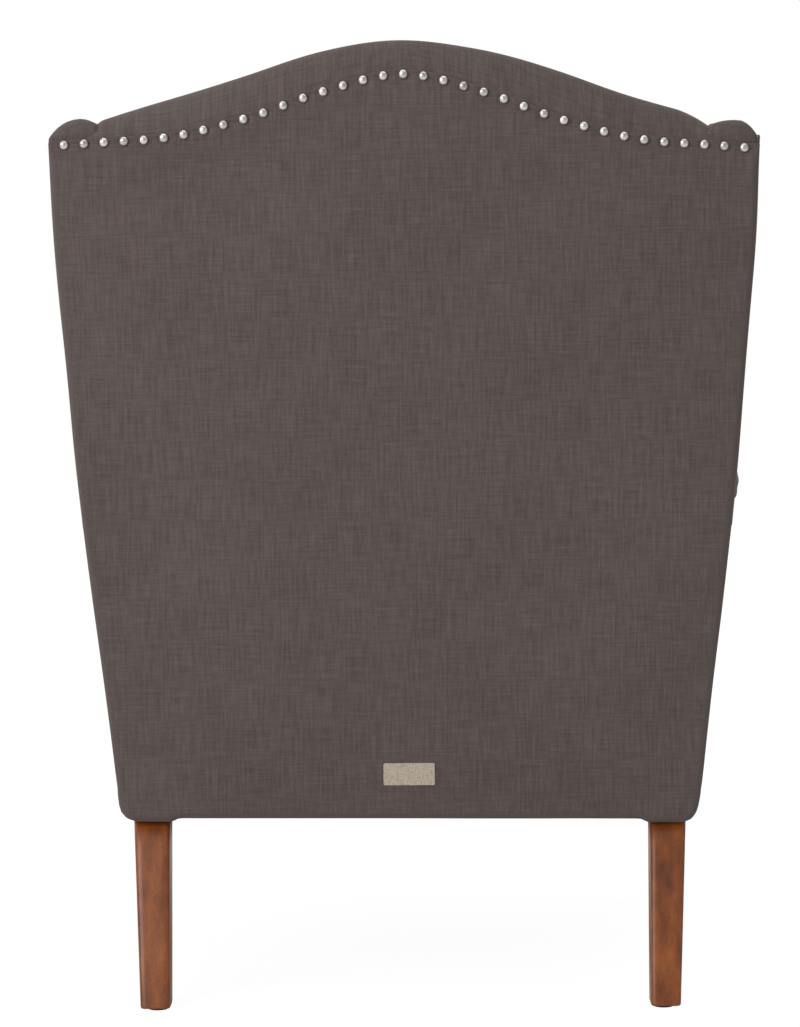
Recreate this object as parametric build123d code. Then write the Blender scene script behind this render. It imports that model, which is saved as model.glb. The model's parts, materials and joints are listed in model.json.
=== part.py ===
from build123d import *
import os
from math import ceil, floor, sqrt

# A camelback wing chair with scroll arms, built as an upholsterer builds it: a dowelled hardwood
# frame, show-wood legs, zigzag springs, webbing, padding, covers, nailheads and a loose cushion.
# Millimetres. The sitter faces -Y, +Z is up, and the origin is on the floor under the middle of
# the chair's overall box. Thicknesses of the leaning members are measured level.

# Driving dimensions of the whole chair
leg_height = 214.0
front_extent = 410.0
rear_extent = 410.0
rear_half_width = 333.0
front_half_width = 370.0
shoulder_half_width = 393.5
shoulder_height = 915.0
back_bottom_y = 308.0
back_top_y = 400.0
back_top_height = 1050.0
crest_above_nails = 39.0

# Upholstery thicknesses and clearances
side_panel = 6.0
back_panel = 6.0
facing_thickness = 6.0
nail_dome_height = 4.0
web_thickness = 2.0
hessian_thickness = 1.0
clearance = 0.3
overrun = 20.0

# Frame timber
rail_height = 110.0
rail_thickness = 25.0
post_width = 34.0
post_depth = 34.0
arm_post_width = 40.0
arm_post_depth = 45.0
arm_board_thickness = 15.0
arm_board_radius = 50.0
arm_board_inset = 6.0
arm_rail_height = 22.0
arm_rail_reach = 40.0
wing_post_front_y = 186.0
wing_post_depth = 35.0
wing_post_top = 860.0
wing_rail_rear_bottom = 925.0
tack_rail_bottom = 390.0
tack_rail_height = 45.0
crest_rail_bottom = 915.0
crest_rail_above_nails = 12.0
block_length = 78.0
block_tip = 14.0
block_height = 60.0

# Dowels, screws, bolts and glides
dowel_radius = 5.0
dowel_length = 44.0
dowel_low_drop = 34.0
dowel_high_drop = 76.0
dowel_stagger = 14.0
screw_radius = 2.2
screw_length = 30.0
screw_head_radius = 4.5
screw_head_height = 3.0
screw_bore_radius = 5.0
screw_wall = 9.0
screw_tip_inset = 9.0
bolt_radius = 4.0
bolt_in_leg = 28.0
bolt_in_frame = 30.0
tnut_flange_radius = 8.2
tnut_flange_thickness = 1.5
tnut_barrel_radius = 5.5
tnut_barrel_length = 10.0
glide_radius = 11.0
glide_height = 3.0
glide_nail_radius = 1.6
glide_nail_length = 18.0

# Legs
rear_leg_x = 297.0
rear_leg_top_front_y = 240.0
rear_leg_top_depth = 50.0
rear_leg_top_width = 42.0
rear_leg_foot_x = 287.0
rear_leg_foot_rear_y = 380.0
rear_leg_foot_depth = 38.0
rear_leg_foot_width = 34.0
rear_bolt_x = 284.5
rear_bolt_y = 267.0
front_leg_x = 346.0
front_leg_set_back = 23.0
front_leg_radius = 19.0
front_leg_radius_shares = (1, 1, 0.66, 0.66, 0.93, 0.93, 0.72, 0.80, 0.52, 0.62, 0.62)
front_leg_height_shares = (1, 0.92, 0.90, 0.87, 0.85, 0.80, 0.78, 0.70, 0.11, 0.08, 0)

# Arms
arm_inner_half_width = 304.0
arm_roll_radius = 60.0
arm_roll_height = 586.0
arm_roll_end_y = 170.0
arm_pad_thickness = 46.0

# Wings: the free edge runs from the arm up and back over the top, as shares of how far it reaches
# in front of the back and of how high it rises above the arm rail
wing_pad_depth = 56.0
wing_roll = 16.0
wing_seam_inset = 14.0
wing_frame_inset = 20.0
wing_top_height = 1000.0
wing_reach = 257.0
wing_reach_shares = (0.724, 0.778, 0.942, 1, 0.887, 0.595, 0.276, 0.024)
wing_rise_shares = (0, 0.205, 0.455, 0.636, 0.818, 0.936, 0.989, 1)

# Back: falls of the camelback crest and of the nail line, at even steps from middle to wing
crest_half_width = 345.0
crest_drop = 88.0
crest_drop_shares = (0, 0.105, 0.376, 0.696, 1)
nail_line_drop = 76.5
nail_drop_shares = (0, 0.242, 0.630, 0.908, 1)
nail_line_end_drop = 80.0
station_shares = (-1, -0.75, -0.5, -0.25, 0, 0.25, 0.5, 0.75, 1)
back_corner_radius = 22.0
back_panel_above_nails = 7.5
crest_top_inset = 28.0
crest_front_drop = 60.0
crest_spans = 14
back_pad_bottom = 346.0
back_pad_top = 1046.0
back_pad_crown = 24.0
back_pad_thickness = 112.0
back_pad_level_shares = (0, 0.18, 0.45, 0.74, 1)
back_pad_thickness_shares = (1, 1.02, 0.88, 0.68, 0.46)
back_pad_arm_levels = 2
back_pad_arm_lap = 20.0
back_limit_share = 0.75

# Buttons of the inside back
button_radius = 12.0
button_height = 7.0
button_rows = 5
button_row_pitch = 84.0
button_column_pitch = 120.0
button_first_height = 610.0
button_side_margin = 60.0
tuft_radius = 36.0
tuft_depth = 16.0
twine_radius = 0.8

# Seat springing and deck
spring_count = 5
spring_spacing = 105.0
spring_wire_radius = 1.8
spring_half_width = 24.0
spring_bar_pitch = 22.0
clip_width = 18.0
clip_depth = 14.0
clip_thickness = 1.2
deck_pad_top = 350.0
border_thickness = 12.0
border_lip = 32.0
border_radius = 10.0
dust_cover_thickness = 1.2
dust_cover_inset = 8.0

# Back webbing
upright_count = 3
upright_pitch = 150.0
cross_count = 4
cross_first_height = 480.0
cross_pitch = 110.0
web_width = 50.0
web_lap = 35.0

# Loose seat cushion
cushion_front_y = -392.0
cushion_rear_y = 164.0
cushion_boxing = 120.0
cushion_crown = 20.0
cushion_side_gap = 7.0
cushion_side_bow = 5.0
cushion_cover_thickness = 6.0
cushion_crown_shares = (0.12, 0.80, 1, 0.80, 0.12)
welt_radius = 2.5
welt_corner_radius = 14.0
zip_half_length = 200.0
zip_height = 16.0
zip_pocket_depth = 4.8
chain_height = 5.0
chain_thickness = 1.5
slider_length = 9.0
slider_height = 8.0
slider_thickness = 2.6
slider_tab_length = 16.0
slider_tab_height = 5.0
slider_tab_thickness = 1.4
slider_end_gap = 12.0

# Nailheads and label
nail_pitch = 22.2
nail_head_radius = 5.25
nail_shank_radius = 0.9
nail_shank_length = 14.0
nail_line_half_count = 17
facing_nail_inset = 14.0
tag_half_width = 29.5
tag_bottom = 246.5
tag_height = 26.0
tag_thickness = 0.8

# Levels and planes that follow from the driving dimensions
facing_front_y = -front_extent + nail_dome_height
facing_rear_y = facing_front_y + facing_thickness
frame_front_y = facing_rear_y + arm_board_thickness
front_leg_y = frame_front_y + front_leg_set_back
rail_top = leg_height + rail_height
arm_rail_bottom = arm_roll_height - sqrt(arm_roll_radius**2 - arm_rail_reach**2)
arm_rail_top = arm_rail_bottom + arm_rail_height
post_top = wing_top_height - wing_frame_inset
clip_height = 2 * clip_thickness + 2 * spring_wire_radius
hessian_bottom = rail_top + clip_height
hessian_top = hessian_bottom + hessian_thickness
cushion_bottom = deck_pad_top + clearance
cushion_top = cushion_bottom + cushion_boxing
rake_slope = (back_top_y - back_bottom_y) / (back_top_height - leg_height)
crest_height = back_top_height + crest_above_nails
edge_slope = (shoulder_half_width - rear_half_width) / (shoulder_height - leg_height)
splay_slope = (front_half_width - rear_half_width) / (back_bottom_y - frame_front_y)
lean_slope = edge_slope + splay_slope * rake_slope
post_front_inset = back_panel + post_depth
webbing_inset = post_front_inset + web_thickness
back_hessian_inset = webbing_inset + web_thickness
back_pad_inset = back_hessian_inset + hessian_thickness
spring_front_y = frame_front_y + rail_thickness / 2
along_x = Vector(1, 0, 0)
along_y = Vector(0, 1, 0)
upright = Vector(0, 0, 1)


def back_y(z):
    """Depth of the outside of the back at a height."""
    return back_bottom_y + rake_slope * (z - leg_height)


spring_rear_y = back_y(rail_top) - back_panel - rail_thickness / 2


def side_x(y, z):
    """Half width of the outside of the right side at a depth and height."""
    return rear_half_width + splay_slope * (back_bottom_y - y) + lean_slope * (z - leg_height)


def roll_x(y):
    """Half width of the arm roll's centre line at a depth."""
    return arm_inner_half_width + arm_roll_radius + splay_slope * (frame_front_y - y)


def arm_inner_x(y):
    """Half width of the inside faces of the arms at a depth."""
    return roll_x(y) - arm_roll_radius


def smooth_share(shares, place):
    """Value at a place from 0 to 1 along evenly spaced shares, level at the chair's middle."""
    steps = len(shares) - 1
    cell = min(floor(place * steps), steps - 1)
    t = place * steps - cell
    start, end = shares[cell], shares[cell + 1]
    before = shares[abs(cell - 1)]
    after = shares[cell + 2] if cell + 2 <= steps else 2 * end - start
    bend_start = (end - before) / 2
    bend_end = (after - start) / 2
    eased = t * t * (3 - 2 * t)
    bend = t * (1 - t) * (bend_start * (1 - t) - bend_end * t)
    return start + (end - start) * eased + bend


def crest_z(x):
    """Height of the crest at a distance from the middle."""
    return crest_height - crest_drop * smooth_share(crest_drop_shares, abs(x) / crest_half_width)


def nail_z(x):
    """Height of the nail line, which runs on almost level over the wings' rear ends."""
    reach = min(abs(x) / crest_half_width, 1)
    past = max(abs(x) - crest_half_width, 0) / (shoulder_half_width - crest_half_width)
    end_fall = (nail_line_end_drop - nail_line_drop) * past
    return back_top_height - nail_line_drop * smooth_share(nail_drop_shares, reach) - end_fall


def fixed(y):
    """A depth that stays the same at every height."""
    return lambda z: y


def from_back(inset):
    """A depth that follows the raked back, a level distance in front of its outside."""
    return lambda z: back_y(z) - inset


def polygon_face(points):
    """A flat face from its corners."""
    return Face(Wire.make_polygon(points, close=True))


def level_face(corners, z):
    """A flat level face from its corners."""
    return polygon_face([Vector(x, y, z) for x, y in corners])


def column(z_low, z_high, outline):
    """A straight-sided piece between two levels; outline gives its corners at a height."""
    return loft([level_face(outline(z), z) for z in (z_low, z_high)], ruled=True)


def side_column(z_low, z_high, outer_inset, inner_inset, front, rear):
    """A member of the right side between two insets from the side's outside face."""

    def outline(z):
        outer = [(side_x(y, z) - outer_inset, y) for y in (front(z), rear(z))]
        inner = [(side_x(y, z) - inner_inset, y) for y in (rear(z), front(z))]
        return outer + inner

    return column(z_low, z_high, outline)


def cross_column(z_low, z_high, side_inset, front, rear):
    """A member from side to side, its ends a level distance inside the chair's sides."""

    def outline(z):
        right = [(side_x(y, z) - side_inset, y) for y in (front(z), rear(z))]
        return right + [(-x, y) for x, y in reversed(right)]

    return column(z_low, z_high, outline)


def back_plate(edges, inset, thickness):
    """A plate lying in the back, from a closed outline drawn upright at y = 0."""
    sheet = extrude(Face(Wire(edges)), amount=rear_extent, dir=along_y)
    reach = front_half_width + shoulder_half_width

    def slab_outline(z):
        y_rear = back_y(z) - inset
        y_front = y_rear - thickness
        return [(-reach, y_front), (reach, y_front), (reach, y_rear), (-reach, y_rear)]

    return sheet & column(leg_height - overrun, crest_height + overrun, slab_outline)


def side_point(y, z, inset=0):
    """A point of the right side, a level distance inside its outside face."""
    return Vector(side_x(y, z) - inset, y, z)


def rod(start, direction, radius, length):
    """A round rod from a start point along a direction."""
    return extrude(Plane(start, z_dir=direction) * Circle(radius), amount=length)


def mirrored(shape):
    """The left-hand twin of a right-hand shape."""
    return mirror(shape, about=Plane.YZ)


def both_sides(shape):
    """A right-hand shape and its twin."""
    return [shape, mirrored(shape)]


def fitted(shape, *neighbours):
    """The shape with the room that its neighbours take cut out of it."""
    return shape - [solid for neighbour in neighbours for solid in neighbour.solids()]


def group(shapes):
    """Separate solids kept together in one node."""
    return Compound([solid for shape in shapes for solid in shape.solids()])


# Frame


def make_back_post():
    return side_column(
        leg_height, post_top, side_panel, side_panel + post_width,
        from_back(post_front_inset), from_back(back_panel),
    )


def make_arm_post():
    return side_column(
        leg_height, arm_rail_bottom, side_panel, side_panel + arm_post_width,
        fixed(frame_front_y), fixed(frame_front_y + arm_post_depth),
    )


def make_side_rail():
    return side_column(
        leg_height, rail_top, side_panel, side_panel + rail_thickness,
        fixed(frame_front_y + arm_post_depth), from_back(post_front_inset),
    )


def make_rear_rail():
    return cross_column(
        leg_height, rail_top, side_panel + post_width,
        from_back(back_panel + rail_thickness), from_back(back_panel),
    )


def make_front_rail():
    return cross_column(
        leg_height, rail_top, side_panel + arm_post_width,
        fixed(frame_front_y), fixed(frame_front_y + rail_thickness),
    )


def make_tack_rail():
    return cross_column(
        tack_rail_bottom, tack_rail_bottom + tack_rail_height, side_panel + post_width,
        from_back(webbing_inset), from_back(webbing_inset - rail_thickness),
    )


def make_crest_rail():
    """The rail between the post tops, its upper edge following the nail line."""
    post_room = side_column(
        leg_height, crest_height, side_panel, side_panel + post_width,
        from_back(webbing_inset), from_back(back_panel),
    )
    end_x = side_x(back_y(crest_rail_bottom), crest_rail_bottom) - side_panel - post_width / 2
    top = [
        Vector(end_x * share, 0, nail_z(end_x * share) + crest_rail_above_nails)
        for share in station_shares
    ]
    low_left = Vector(-end_x, 0, crest_rail_bottom)
    low_right = Vector(end_x, 0, crest_rail_bottom)
    edges = [
        Spline(*top),
        Line(top[-1], low_right),
        Line(low_right, low_left),
        Line(low_left, top[0]),
    ]
    return fitted(back_plate(edges, back_panel, webbing_inset - back_panel), *both_sides(post_room))


def make_arm_rail():
    """The board that carries the roll, from the arm front to the wing post."""

    def outline(z):
        ends = (frame_front_y, wing_post_front_y)
        outer = [(side_x(y, z) - side_panel, y) for y in ends]
        return outer + [(roll_x(y) - arm_rail_reach, y) for y in reversed(ends)]

    return column(arm_rail_bottom, arm_rail_top, outline)


def make_wing_post():
    return side_column(
        rail_top, wing_post_top, side_panel, side_panel + rail_thickness,
        fixed(wing_post_front_y), fixed(wing_post_front_y + wing_post_depth),
    )


def wing_edge(inset):
    """Depths and heights along the wing's free edge, drawn in by an inset."""
    height = wing_top_height - arm_rail_top
    edge = []
    for reach, rise in zip(wing_reach_shares, wing_rise_shares):
        z = arm_rail_top + rise * height
        edge.append((back_y(z) - reach * wing_reach + inset, z - inset))
    return edge


def make_wing_rail():
    """The wing's curved top rail, from the wing post to the back post."""

    def post_face(z):
        return back_y(z) - post_front_inset, z

    top = [
        (y, z)
        for y, z in wing_edge(wing_frame_inset)
        if y > wing_post_front_y and z > wing_post_top and y < post_face(z)[0]
    ]
    outline = [(wing_post_front_y, wing_post_top)] + top
    outline += [post_face(post_top), post_face(wing_rail_rear_bottom)]
    outline.append((wing_post_front_y + wing_post_depth, wing_post_top))
    face = polygon_face([side_point(y, z, side_panel) for y, z in outline])
    return extrude(face, amount=rail_thickness, dir=-along_x)


def keyhole(head_radius, inset, y_front, thickness):
    """The arm's front shape: a round head on a stem that follows the chair's side."""

    def outline(z):
        outer = side_x(frame_front_y, z) - inset
        inner = arm_inner_half_width + inset
        y_rear = y_front + thickness
        return [(inner, y_front), (outer, y_front), (outer, y_rear), (inner, y_rear)]

    centre = Vector(roll_x(frame_front_y), y_front, arm_roll_height)
    return rod(centre, along_y, head_radius, thickness) + column(leg_height, arm_rail_top, outline)


def make_corner_block(corner_y, direction):
    """A block in a rail corner; direction is 1 at the back and -1 at the front."""

    def outline(z):
        side = side_panel + rail_thickness
        y = corner_y(z)
        far_y = y - direction * block_length
        corner = side_x(y, z) - side
        far = side_x(far_y, z) - side
        return [
            (corner, y), (corner - block_length, y), (corner - block_length, y - direction * block_tip),
            (far - block_tip, far_y), (far, far_y),
        ]

    return column(leg_height, leg_height + block_height, outline)


def dowel(x, y, z, direction):
    """A dowel centred on the joint that it crosses."""
    return rod(Vector(x, y, z) - direction * (dowel_length / 2), direction, dowel_radius, dowel_length)


def make_dowels():
    """The right side's dowels: rails into posts, arm rail, wing post and wing rail."""
    rail_middle = side_panel + rail_thickness / 2
    dowels = []
    for drop in (dowel_low_drop, dowel_high_drop):
        z = rail_top - drop
        y = back_y(z) - back_panel - rail_thickness / 2
        dowels.append(dowel(side_x(y, z) - side_panel - post_width, y, z, along_x))
        y = spring_front_y
        dowels.append(dowel(side_x(y, z) - side_panel - arm_post_width, y, z, along_x))
        z = z + dowel_stagger
        for y in (frame_front_y + arm_post_depth, back_y(z) - post_front_inset):
            dowels.append(dowel(side_x(y, z) - rail_middle, y, z, along_y))
    for z, inset in (
        (tack_rail_bottom + tack_rail_height / 2, webbing_inset - rail_thickness / 2),
        ((crest_rail_bottom + post_top) / 2, (back_panel + webbing_inset) / 2),
    ):
        y = back_y(z) - inset
        dowels.append(dowel(side_x(y, z) - side_panel - post_width, y, z, along_x))
    z = (arm_rail_bottom + arm_rail_top) / 2
    dowels.append(dowel(side_x(wing_post_front_y, z) - rail_middle, wing_post_front_y, z, along_y))
    z = (post_top + wing_rail_rear_bottom) / 2
    y = back_y(z) - post_front_inset
    dowels.append(dowel(side_x(y, z) - rail_middle, y, z, along_y))
    y = wing_post_front_y + wing_post_depth / 2
    dowels.append(dowel(side_x(y, rail_top) - rail_middle, y, rail_top, upright))
    y = frame_front_y + arm_post_depth / 2
    z = arm_rail_top - dowel_length / 2
    dowels.append(dowel(side_x(y, z) - side_panel - arm_post_width / 2, y, z, upright))
    return dowels


def make_block_screws():
    """Two screws in each right-hand corner block, one into each rail, and their clearance bores."""
    screws = []
    bores = []
    side = side_panel + rail_thickness
    rear_corner_y = back_y(leg_height) - back_panel - rail_thickness
    front_corner_y = frame_front_y + rail_thickness
    for corner_y, inward in ((rear_corner_y, 1), (front_corner_y, -1)):
        z = leg_height + block_height - 2 * screw_wall
        x = side_x(corner_y, z) - side - block_length + screw_tip_inset
        rail_head = Vector(x, corner_y - inward * screw_wall, z)
        y = corner_y - inward * (block_length - screw_tip_inset)
        z = leg_height + 2 * screw_wall
        side_head = Vector(side_x(y, z) - side - screw_wall, y, z)
        for head, direction in ((rail_head, along_y * inward), (side_head, along_x)):
            screw = rod(head, direction, screw_head_radius, screw_head_height)
            screws.append(screw + rod(head, direction, screw_radius, screw_length))
            bores.append(rod(head - direction * block_length, direction, screw_bore_radius, block_length))
    return screws, bores


# Legs


def leg_section(x, y_rear, z, width, depth):
    """A level rectangle of a leg, its rear face at a given depth."""
    half = width / 2
    y_front = y_rear - depth
    return level_face([(x - half, y_front), (x + half, y_front), (x + half, y_rear), (x - half, y_rear)], z)


def make_rear_leg():
    """A plain square leg, tapered and swept back."""
    top_rear_y = rear_leg_top_front_y + rear_leg_top_depth
    top = leg_section(rear_leg_x, top_rear_y, leg_height, rear_leg_top_width, rear_leg_top_depth)
    foot = leg_section(
        rear_leg_foot_x, rear_leg_foot_rear_y, glide_height, rear_leg_foot_width, rear_leg_foot_depth
    )
    return loft([foot, top], ruled=True)


def make_front_leg():
    """A turned leg, from shares of its radius and height."""
    height = leg_height - glide_height
    profile = [Vector(0, 0, leg_height)]
    for radius_share, height_share in zip(front_leg_radius_shares, front_leg_height_shares):
        profile.append(Vector(front_leg_radius * radius_share, 0, glide_height + height * height_share))
    profile.append(Vector(0, 0, glide_height))
    return Pos(front_leg_x, front_leg_y, 0) * revolve(polygon_face(profile), axis=Axis.Z)


def make_leg_bolt(x, y):
    """A hanger bolt from the leg up into the frame."""
    start = Vector(x, y, leg_height - bolt_in_leg)
    return rod(start, upright, bolt_radius, bolt_in_leg + bolt_in_frame)


def make_leg_nut(x, y):
    """A tee nut let into the frame's underside, its flange level with it."""
    foot = Vector(x, y, leg_height)
    flange = rod(foot, upright, tnut_flange_radius, tnut_flange_thickness)
    return flange + rod(foot, upright, tnut_barrel_radius, tnut_barrel_length)


def make_glide(x, y):
    """A nail-on foot with its nail."""
    disc = rod(Vector(x, y, 0), upright, glide_radius, glide_height)
    return disc + rod(Vector(x, y, 0), upright, glide_nail_radius, glide_nail_length)


# Seat springing


def spring_places():
    """Sideways places of the springs, evenly spaced about the middle."""
    first = -(spring_count - 1) / 2
    return [(first + index) * spring_spacing for index in range(spring_count)]


def make_spring(x):
    """One zigzag spring lying along the seat, its end bars in the clips on both rails."""
    z = rail_top + clip_thickness + spring_wire_radius
    bars = ceil((spring_rear_y - spring_front_y) / spring_bar_pitch)
    pitch = (spring_rear_y - spring_front_y) / bars
    points = []
    for bar in range(bars + 1):
        side = spring_half_width if bar % 2 == 0 else -spring_half_width
        y = spring_front_y + bar * pitch
        points += [Vector(x - side, y, z), Vector(x + side, y, z)]
    path = FilletPolyline(*points, radius=pitch / 2 - clearance)
    return sweep(Plane(points[0], z_dir=along_x) * Circle(spring_wire_radius), path=path)


def make_clips(x):
    """The two clips that hold a spring's end bars on the rails."""
    wire_z = rail_top + clip_thickness + spring_wire_radius
    clips = []
    for y in (spring_front_y, spring_rear_y):
        block = Pos(x, y, rail_top + clip_height / 2) * Box(clip_width, clip_depth, clip_height)
        start = Vector(x - clip_width, y, wire_z)
        clips.append(block - rod(start, along_x, spring_wire_radius, 2 * clip_width))
    return clips


def deck_layer(z_low, z_high, front, rear):
    """A layer of the seat deck between the arms' inside faces."""

    def outline(z):
        right = [(arm_inner_x(y), y) for y in (front, rear)]
        return right + [(-x, y) for x, y in reversed(right)]

    return column(z_low, z_high, outline)


def make_front_border():
    """The padded front of the seat: over the front rail and back along the deck's front edge."""
    y_face = frame_front_y - border_thickness
    y_lip = frame_front_y + border_lip
    half = arm_inner_half_width + arm_board_inset
    corners = [
        (y_face, leg_height), (y_face, deck_pad_top), (y_lip, deck_pad_top),
        (y_lip, hessian_top), (frame_front_y, hessian_top), (frame_front_y, leg_height),
    ]
    bar = extrude(polygon_face([Vector(-half, y, z) for y, z in corners]), amount=2 * half, dir=along_x)
    edge = bar.edges().filter_by(Axis.X).sort_by(lambda e: e.center().Y - e.center().Z)[0]
    return fillet(edge, border_radius)


def make_dust_cover():
    return cross_column(
        leg_height - dust_cover_thickness, leg_height, dust_cover_inset,
        fixed(frame_front_y), fixed(back_bottom_y - dust_cover_inset),
    )


# Back springing


def make_uprights():
    """Webbing strips from the tack rail to the crest rail."""
    first = -(upright_count - 1) / 2
    straps = []
    for index in range(upright_count):
        low_x = (first + index) * upright_pitch - web_width / 2
        high_x = low_x + web_width

        def outline(z, low_x=low_x, high_x=high_x):
            y_rear = back_y(z) - webbing_inset
            y_front = y_rear - web_thickness
            return [(low_x, y_front), (high_x, y_front), (high_x, y_rear), (low_x, y_rear)]

        straps.append(column(tack_rail_bottom, crest_rail_bottom + web_lap, outline))
    return straps


def make_crosses():
    """Webbing strips from post to post, behind the upright ones."""
    straps = []
    for index in range(cross_count):
        low = cross_first_height + index * cross_pitch
        straps.append(cross_column(
            low, low + web_width, side_panel + post_width / 2,
            from_back(webbing_inset), from_back(post_front_inset),
        ))
    return straps


def make_back_hessian():
    return cross_column(
        tack_rail_bottom, crest_rail_bottom + web_lap, side_panel + post_width,
        from_back(back_pad_inset), from_back(back_hessian_inset),
    )


# Inside covers with their padding


def pad_front_y(z):
    """Depth of the inside back's face at the middle of the chair."""
    place = (z - back_pad_bottom) / (back_pad_top - back_pad_bottom)
    levels = back_pad_level_shares
    cell = max(index for index in range(len(levels) - 1) if levels[index] <= max(place, 0))
    t = (place - levels[cell]) / (levels[cell + 1] - levels[cell])
    low, high = back_pad_thickness_shares[cell], back_pad_thickness_shares[cell + 1]
    return back_y(z) - back_pad_inset - back_pad_thickness * (low + (high - low) * t)


def make_back_pad():
    """The crowned padding of the inside back, before its neighbours and buttons are let in."""
    sections = []
    for level, share in enumerate(back_pad_level_shares):
        z = back_pad_bottom + share * (back_pad_top - back_pad_bottom)
        y_rear = back_y(z) - back_pad_inset
        between_arms = level < back_pad_arm_levels
        half = arm_inner_x(y_rear) + back_pad_arm_lap if between_arms else side_x(y_rear, z) - wing_pad_depth / 2
        y_side = pad_front_y(z) + back_pad_crown
        edges = [
            Line(Vector(-half, y_rear, z), Vector(half, y_rear, z)),
            Line(Vector(half, y_rear, z), Vector(half, y_side, z)),
            ThreePointArc(Vector(half, y_side, z), Vector(0, pad_front_y(z), z), Vector(-half, y_side, z)),
            Line(Vector(-half, y_side, z), Vector(-half, y_rear, z)),
        ]
        sections.append(Face(Wire(edges)))
    return loft(sections, ruled=True)


def make_back_limit():
    """Everything below the camelback edge at which the inside back ends."""
    half = crest_half_width + wing_pad_depth
    top = [
        Vector(half * share, 0, crest_z(crest_half_width * share) - crest_front_drop * back_limit_share)
        for share in station_shares
    ]
    low_left, low_right = Vector(-half, 0, leg_height), Vector(half, 0, leg_height)
    edges = [Spline(*top), Line(top[-1], low_right), Line(low_right, low_left), Line(low_left, top[0])]
    return extrude(Face(Wire(edges)), amount=rear_extent, dir=along_y)


def arc_down_from(top, end):
    """An arc in the plane across the crest that leaves a top point level and falls to an end."""
    run, fall = end.Y - top.Y, top.Z - end.Z
    radius = (run**2 + fall**2) / (2 * fall)
    centre = top - upright * radius
    middle = centre + ((top - centre).normalized() + (end - centre).normalized()).normalized() * radius
    return ThreePointArc(top, middle, end)


def make_crest_roll():
    """The padded roll over the crest rail, from the inside back over to the nail line behind."""
    sections = []
    for step in range(crest_spans + 1):
        x = crest_half_width * (2 * step / crest_spans - 1)
        crest = crest_z(x)
        nail = nail_z(x) + back_panel_above_nails
        low = crest - crest_front_drop
        top = Vector(x, back_y(crest) - crest_top_inset, crest)
        rear = Vector(x, back_y(nail), nail)
        front = Vector(x, pad_front_y(low), low)
        edges = [arc_down_from(top, rear), arc_down_from(top, front), Line(front, rear)]
        sections.append(Face(Wire(edges)))
    return loft(sections, ruled=True)


def wing_plate(edge, thickness, z_low):
    """A plate of the wing: its free edge closed down the back and along a level line."""
    z_top = edge[-1][1]
    rear_top = (back_y(z_top) - back_panel, z_top)
    curve = [side_point(y, z) for y, z in edge[:-1] + [rear_top]]
    rear_low = side_point(back_y(z_low) - back_panel, z_low)
    edges = [Spline(*curve), Line(curve[-1], rear_low)]
    if edge[0][1] > z_low:
        front_low = side_point(edge[0][0], z_low)
        edges += [Line(rear_low, front_low), Line(front_low, curve[0])]
    else:
        edges.append(Line(rear_low, curve[0]))
    return extrude(Face(Wire(edges)), amount=thickness, dir=-along_x)


def make_wing_pad():
    """The wing's padded inside, rolled over its free edge to the seam outside."""
    plate = wing_plate(wing_edge(0), wing_pad_depth, arm_rail_top)
    return fillet(plate.edges().filter_by(GeomType.BSPLINE), wing_roll)


def make_outside_wing():
    edge = [(y, max(z, arm_rail_bottom)) for y, z in wing_edge(wing_seam_inset)]
    return wing_plate(edge, side_panel, arm_rail_bottom)


def make_outside_arm():
    corners = [
        (facing_rear_y, leg_height), (back_bottom_y - back_panel, leg_height),
        (back_y(arm_rail_bottom) - back_panel, arm_rail_bottom), (facing_rear_y, arm_rail_bottom),
    ]
    return extrude(polygon_face([side_point(y, z) for y, z in corners]), amount=side_panel, dir=-along_x)


def arm_run(edges, y_rear):
    """A section drawn at the arm's front, run back along the chair's side."""
    run = Vector(-splay_slope, 1, 0)
    length = (y_rear - facing_rear_y) * run.length
    return extrude(Face(Wire(edges)), amount=length, dir=run.normalized())


def make_arm_pad():
    """The arm's padded inside: a slab up from the deck, rolled over the arm rail."""
    y = facing_rear_y
    inner, middle = arm_inner_x(y), roll_x(y)
    diagonal = arm_roll_radius * sqrt(1 / 2)
    outer = middle + sqrt(arm_roll_radius**2 - (arm_roll_height - arm_rail_bottom) ** 2)
    slab = inner + arm_pad_thickness
    slab_top = arm_roll_height + sqrt(arm_roll_radius**2 - (arm_roll_radius - arm_pad_thickness) ** 2)
    spring_line = Vector(inner, y, arm_roll_height)
    rise = Vector(middle - diagonal, y, arm_roll_height + diagonal)
    crown = Vector(middle, y, arm_roll_height + arm_roll_radius)
    side = Vector(middle + arm_roll_radius, y, arm_roll_height)
    tuck = Vector(outer, y, arm_rail_bottom)
    slab_crown = Vector(slab, y, slab_top)
    slab_tuck = Vector(slab, y, arm_rail_bottom)
    slab_low = Vector(slab, y, rail_top)
    inner_low = Vector(inner, y, rail_top)
    roll_edges = [
        ThreePointArc(spring_line, rise, crown), ThreePointArc(crown, side, tuck), Line(tuck, slab_tuck),
        Line(slab_tuck, slab_low), Line(slab_low, inner_low), Line(inner_low, spring_line),
    ]
    slab_edges = [
        ThreePointArc(spring_line, rise, slab_crown), Line(slab_crown, slab_low),
        Line(slab_low, inner_low), Line(inner_low, spring_line),
    ]
    y_pad_rear = back_y(arm_roll_height) - back_pad_inset - back_pad_thickness / 2
    return arm_run(roll_edges, arm_roll_end_y) + arm_run(slab_edges, y_pad_rear)


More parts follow.
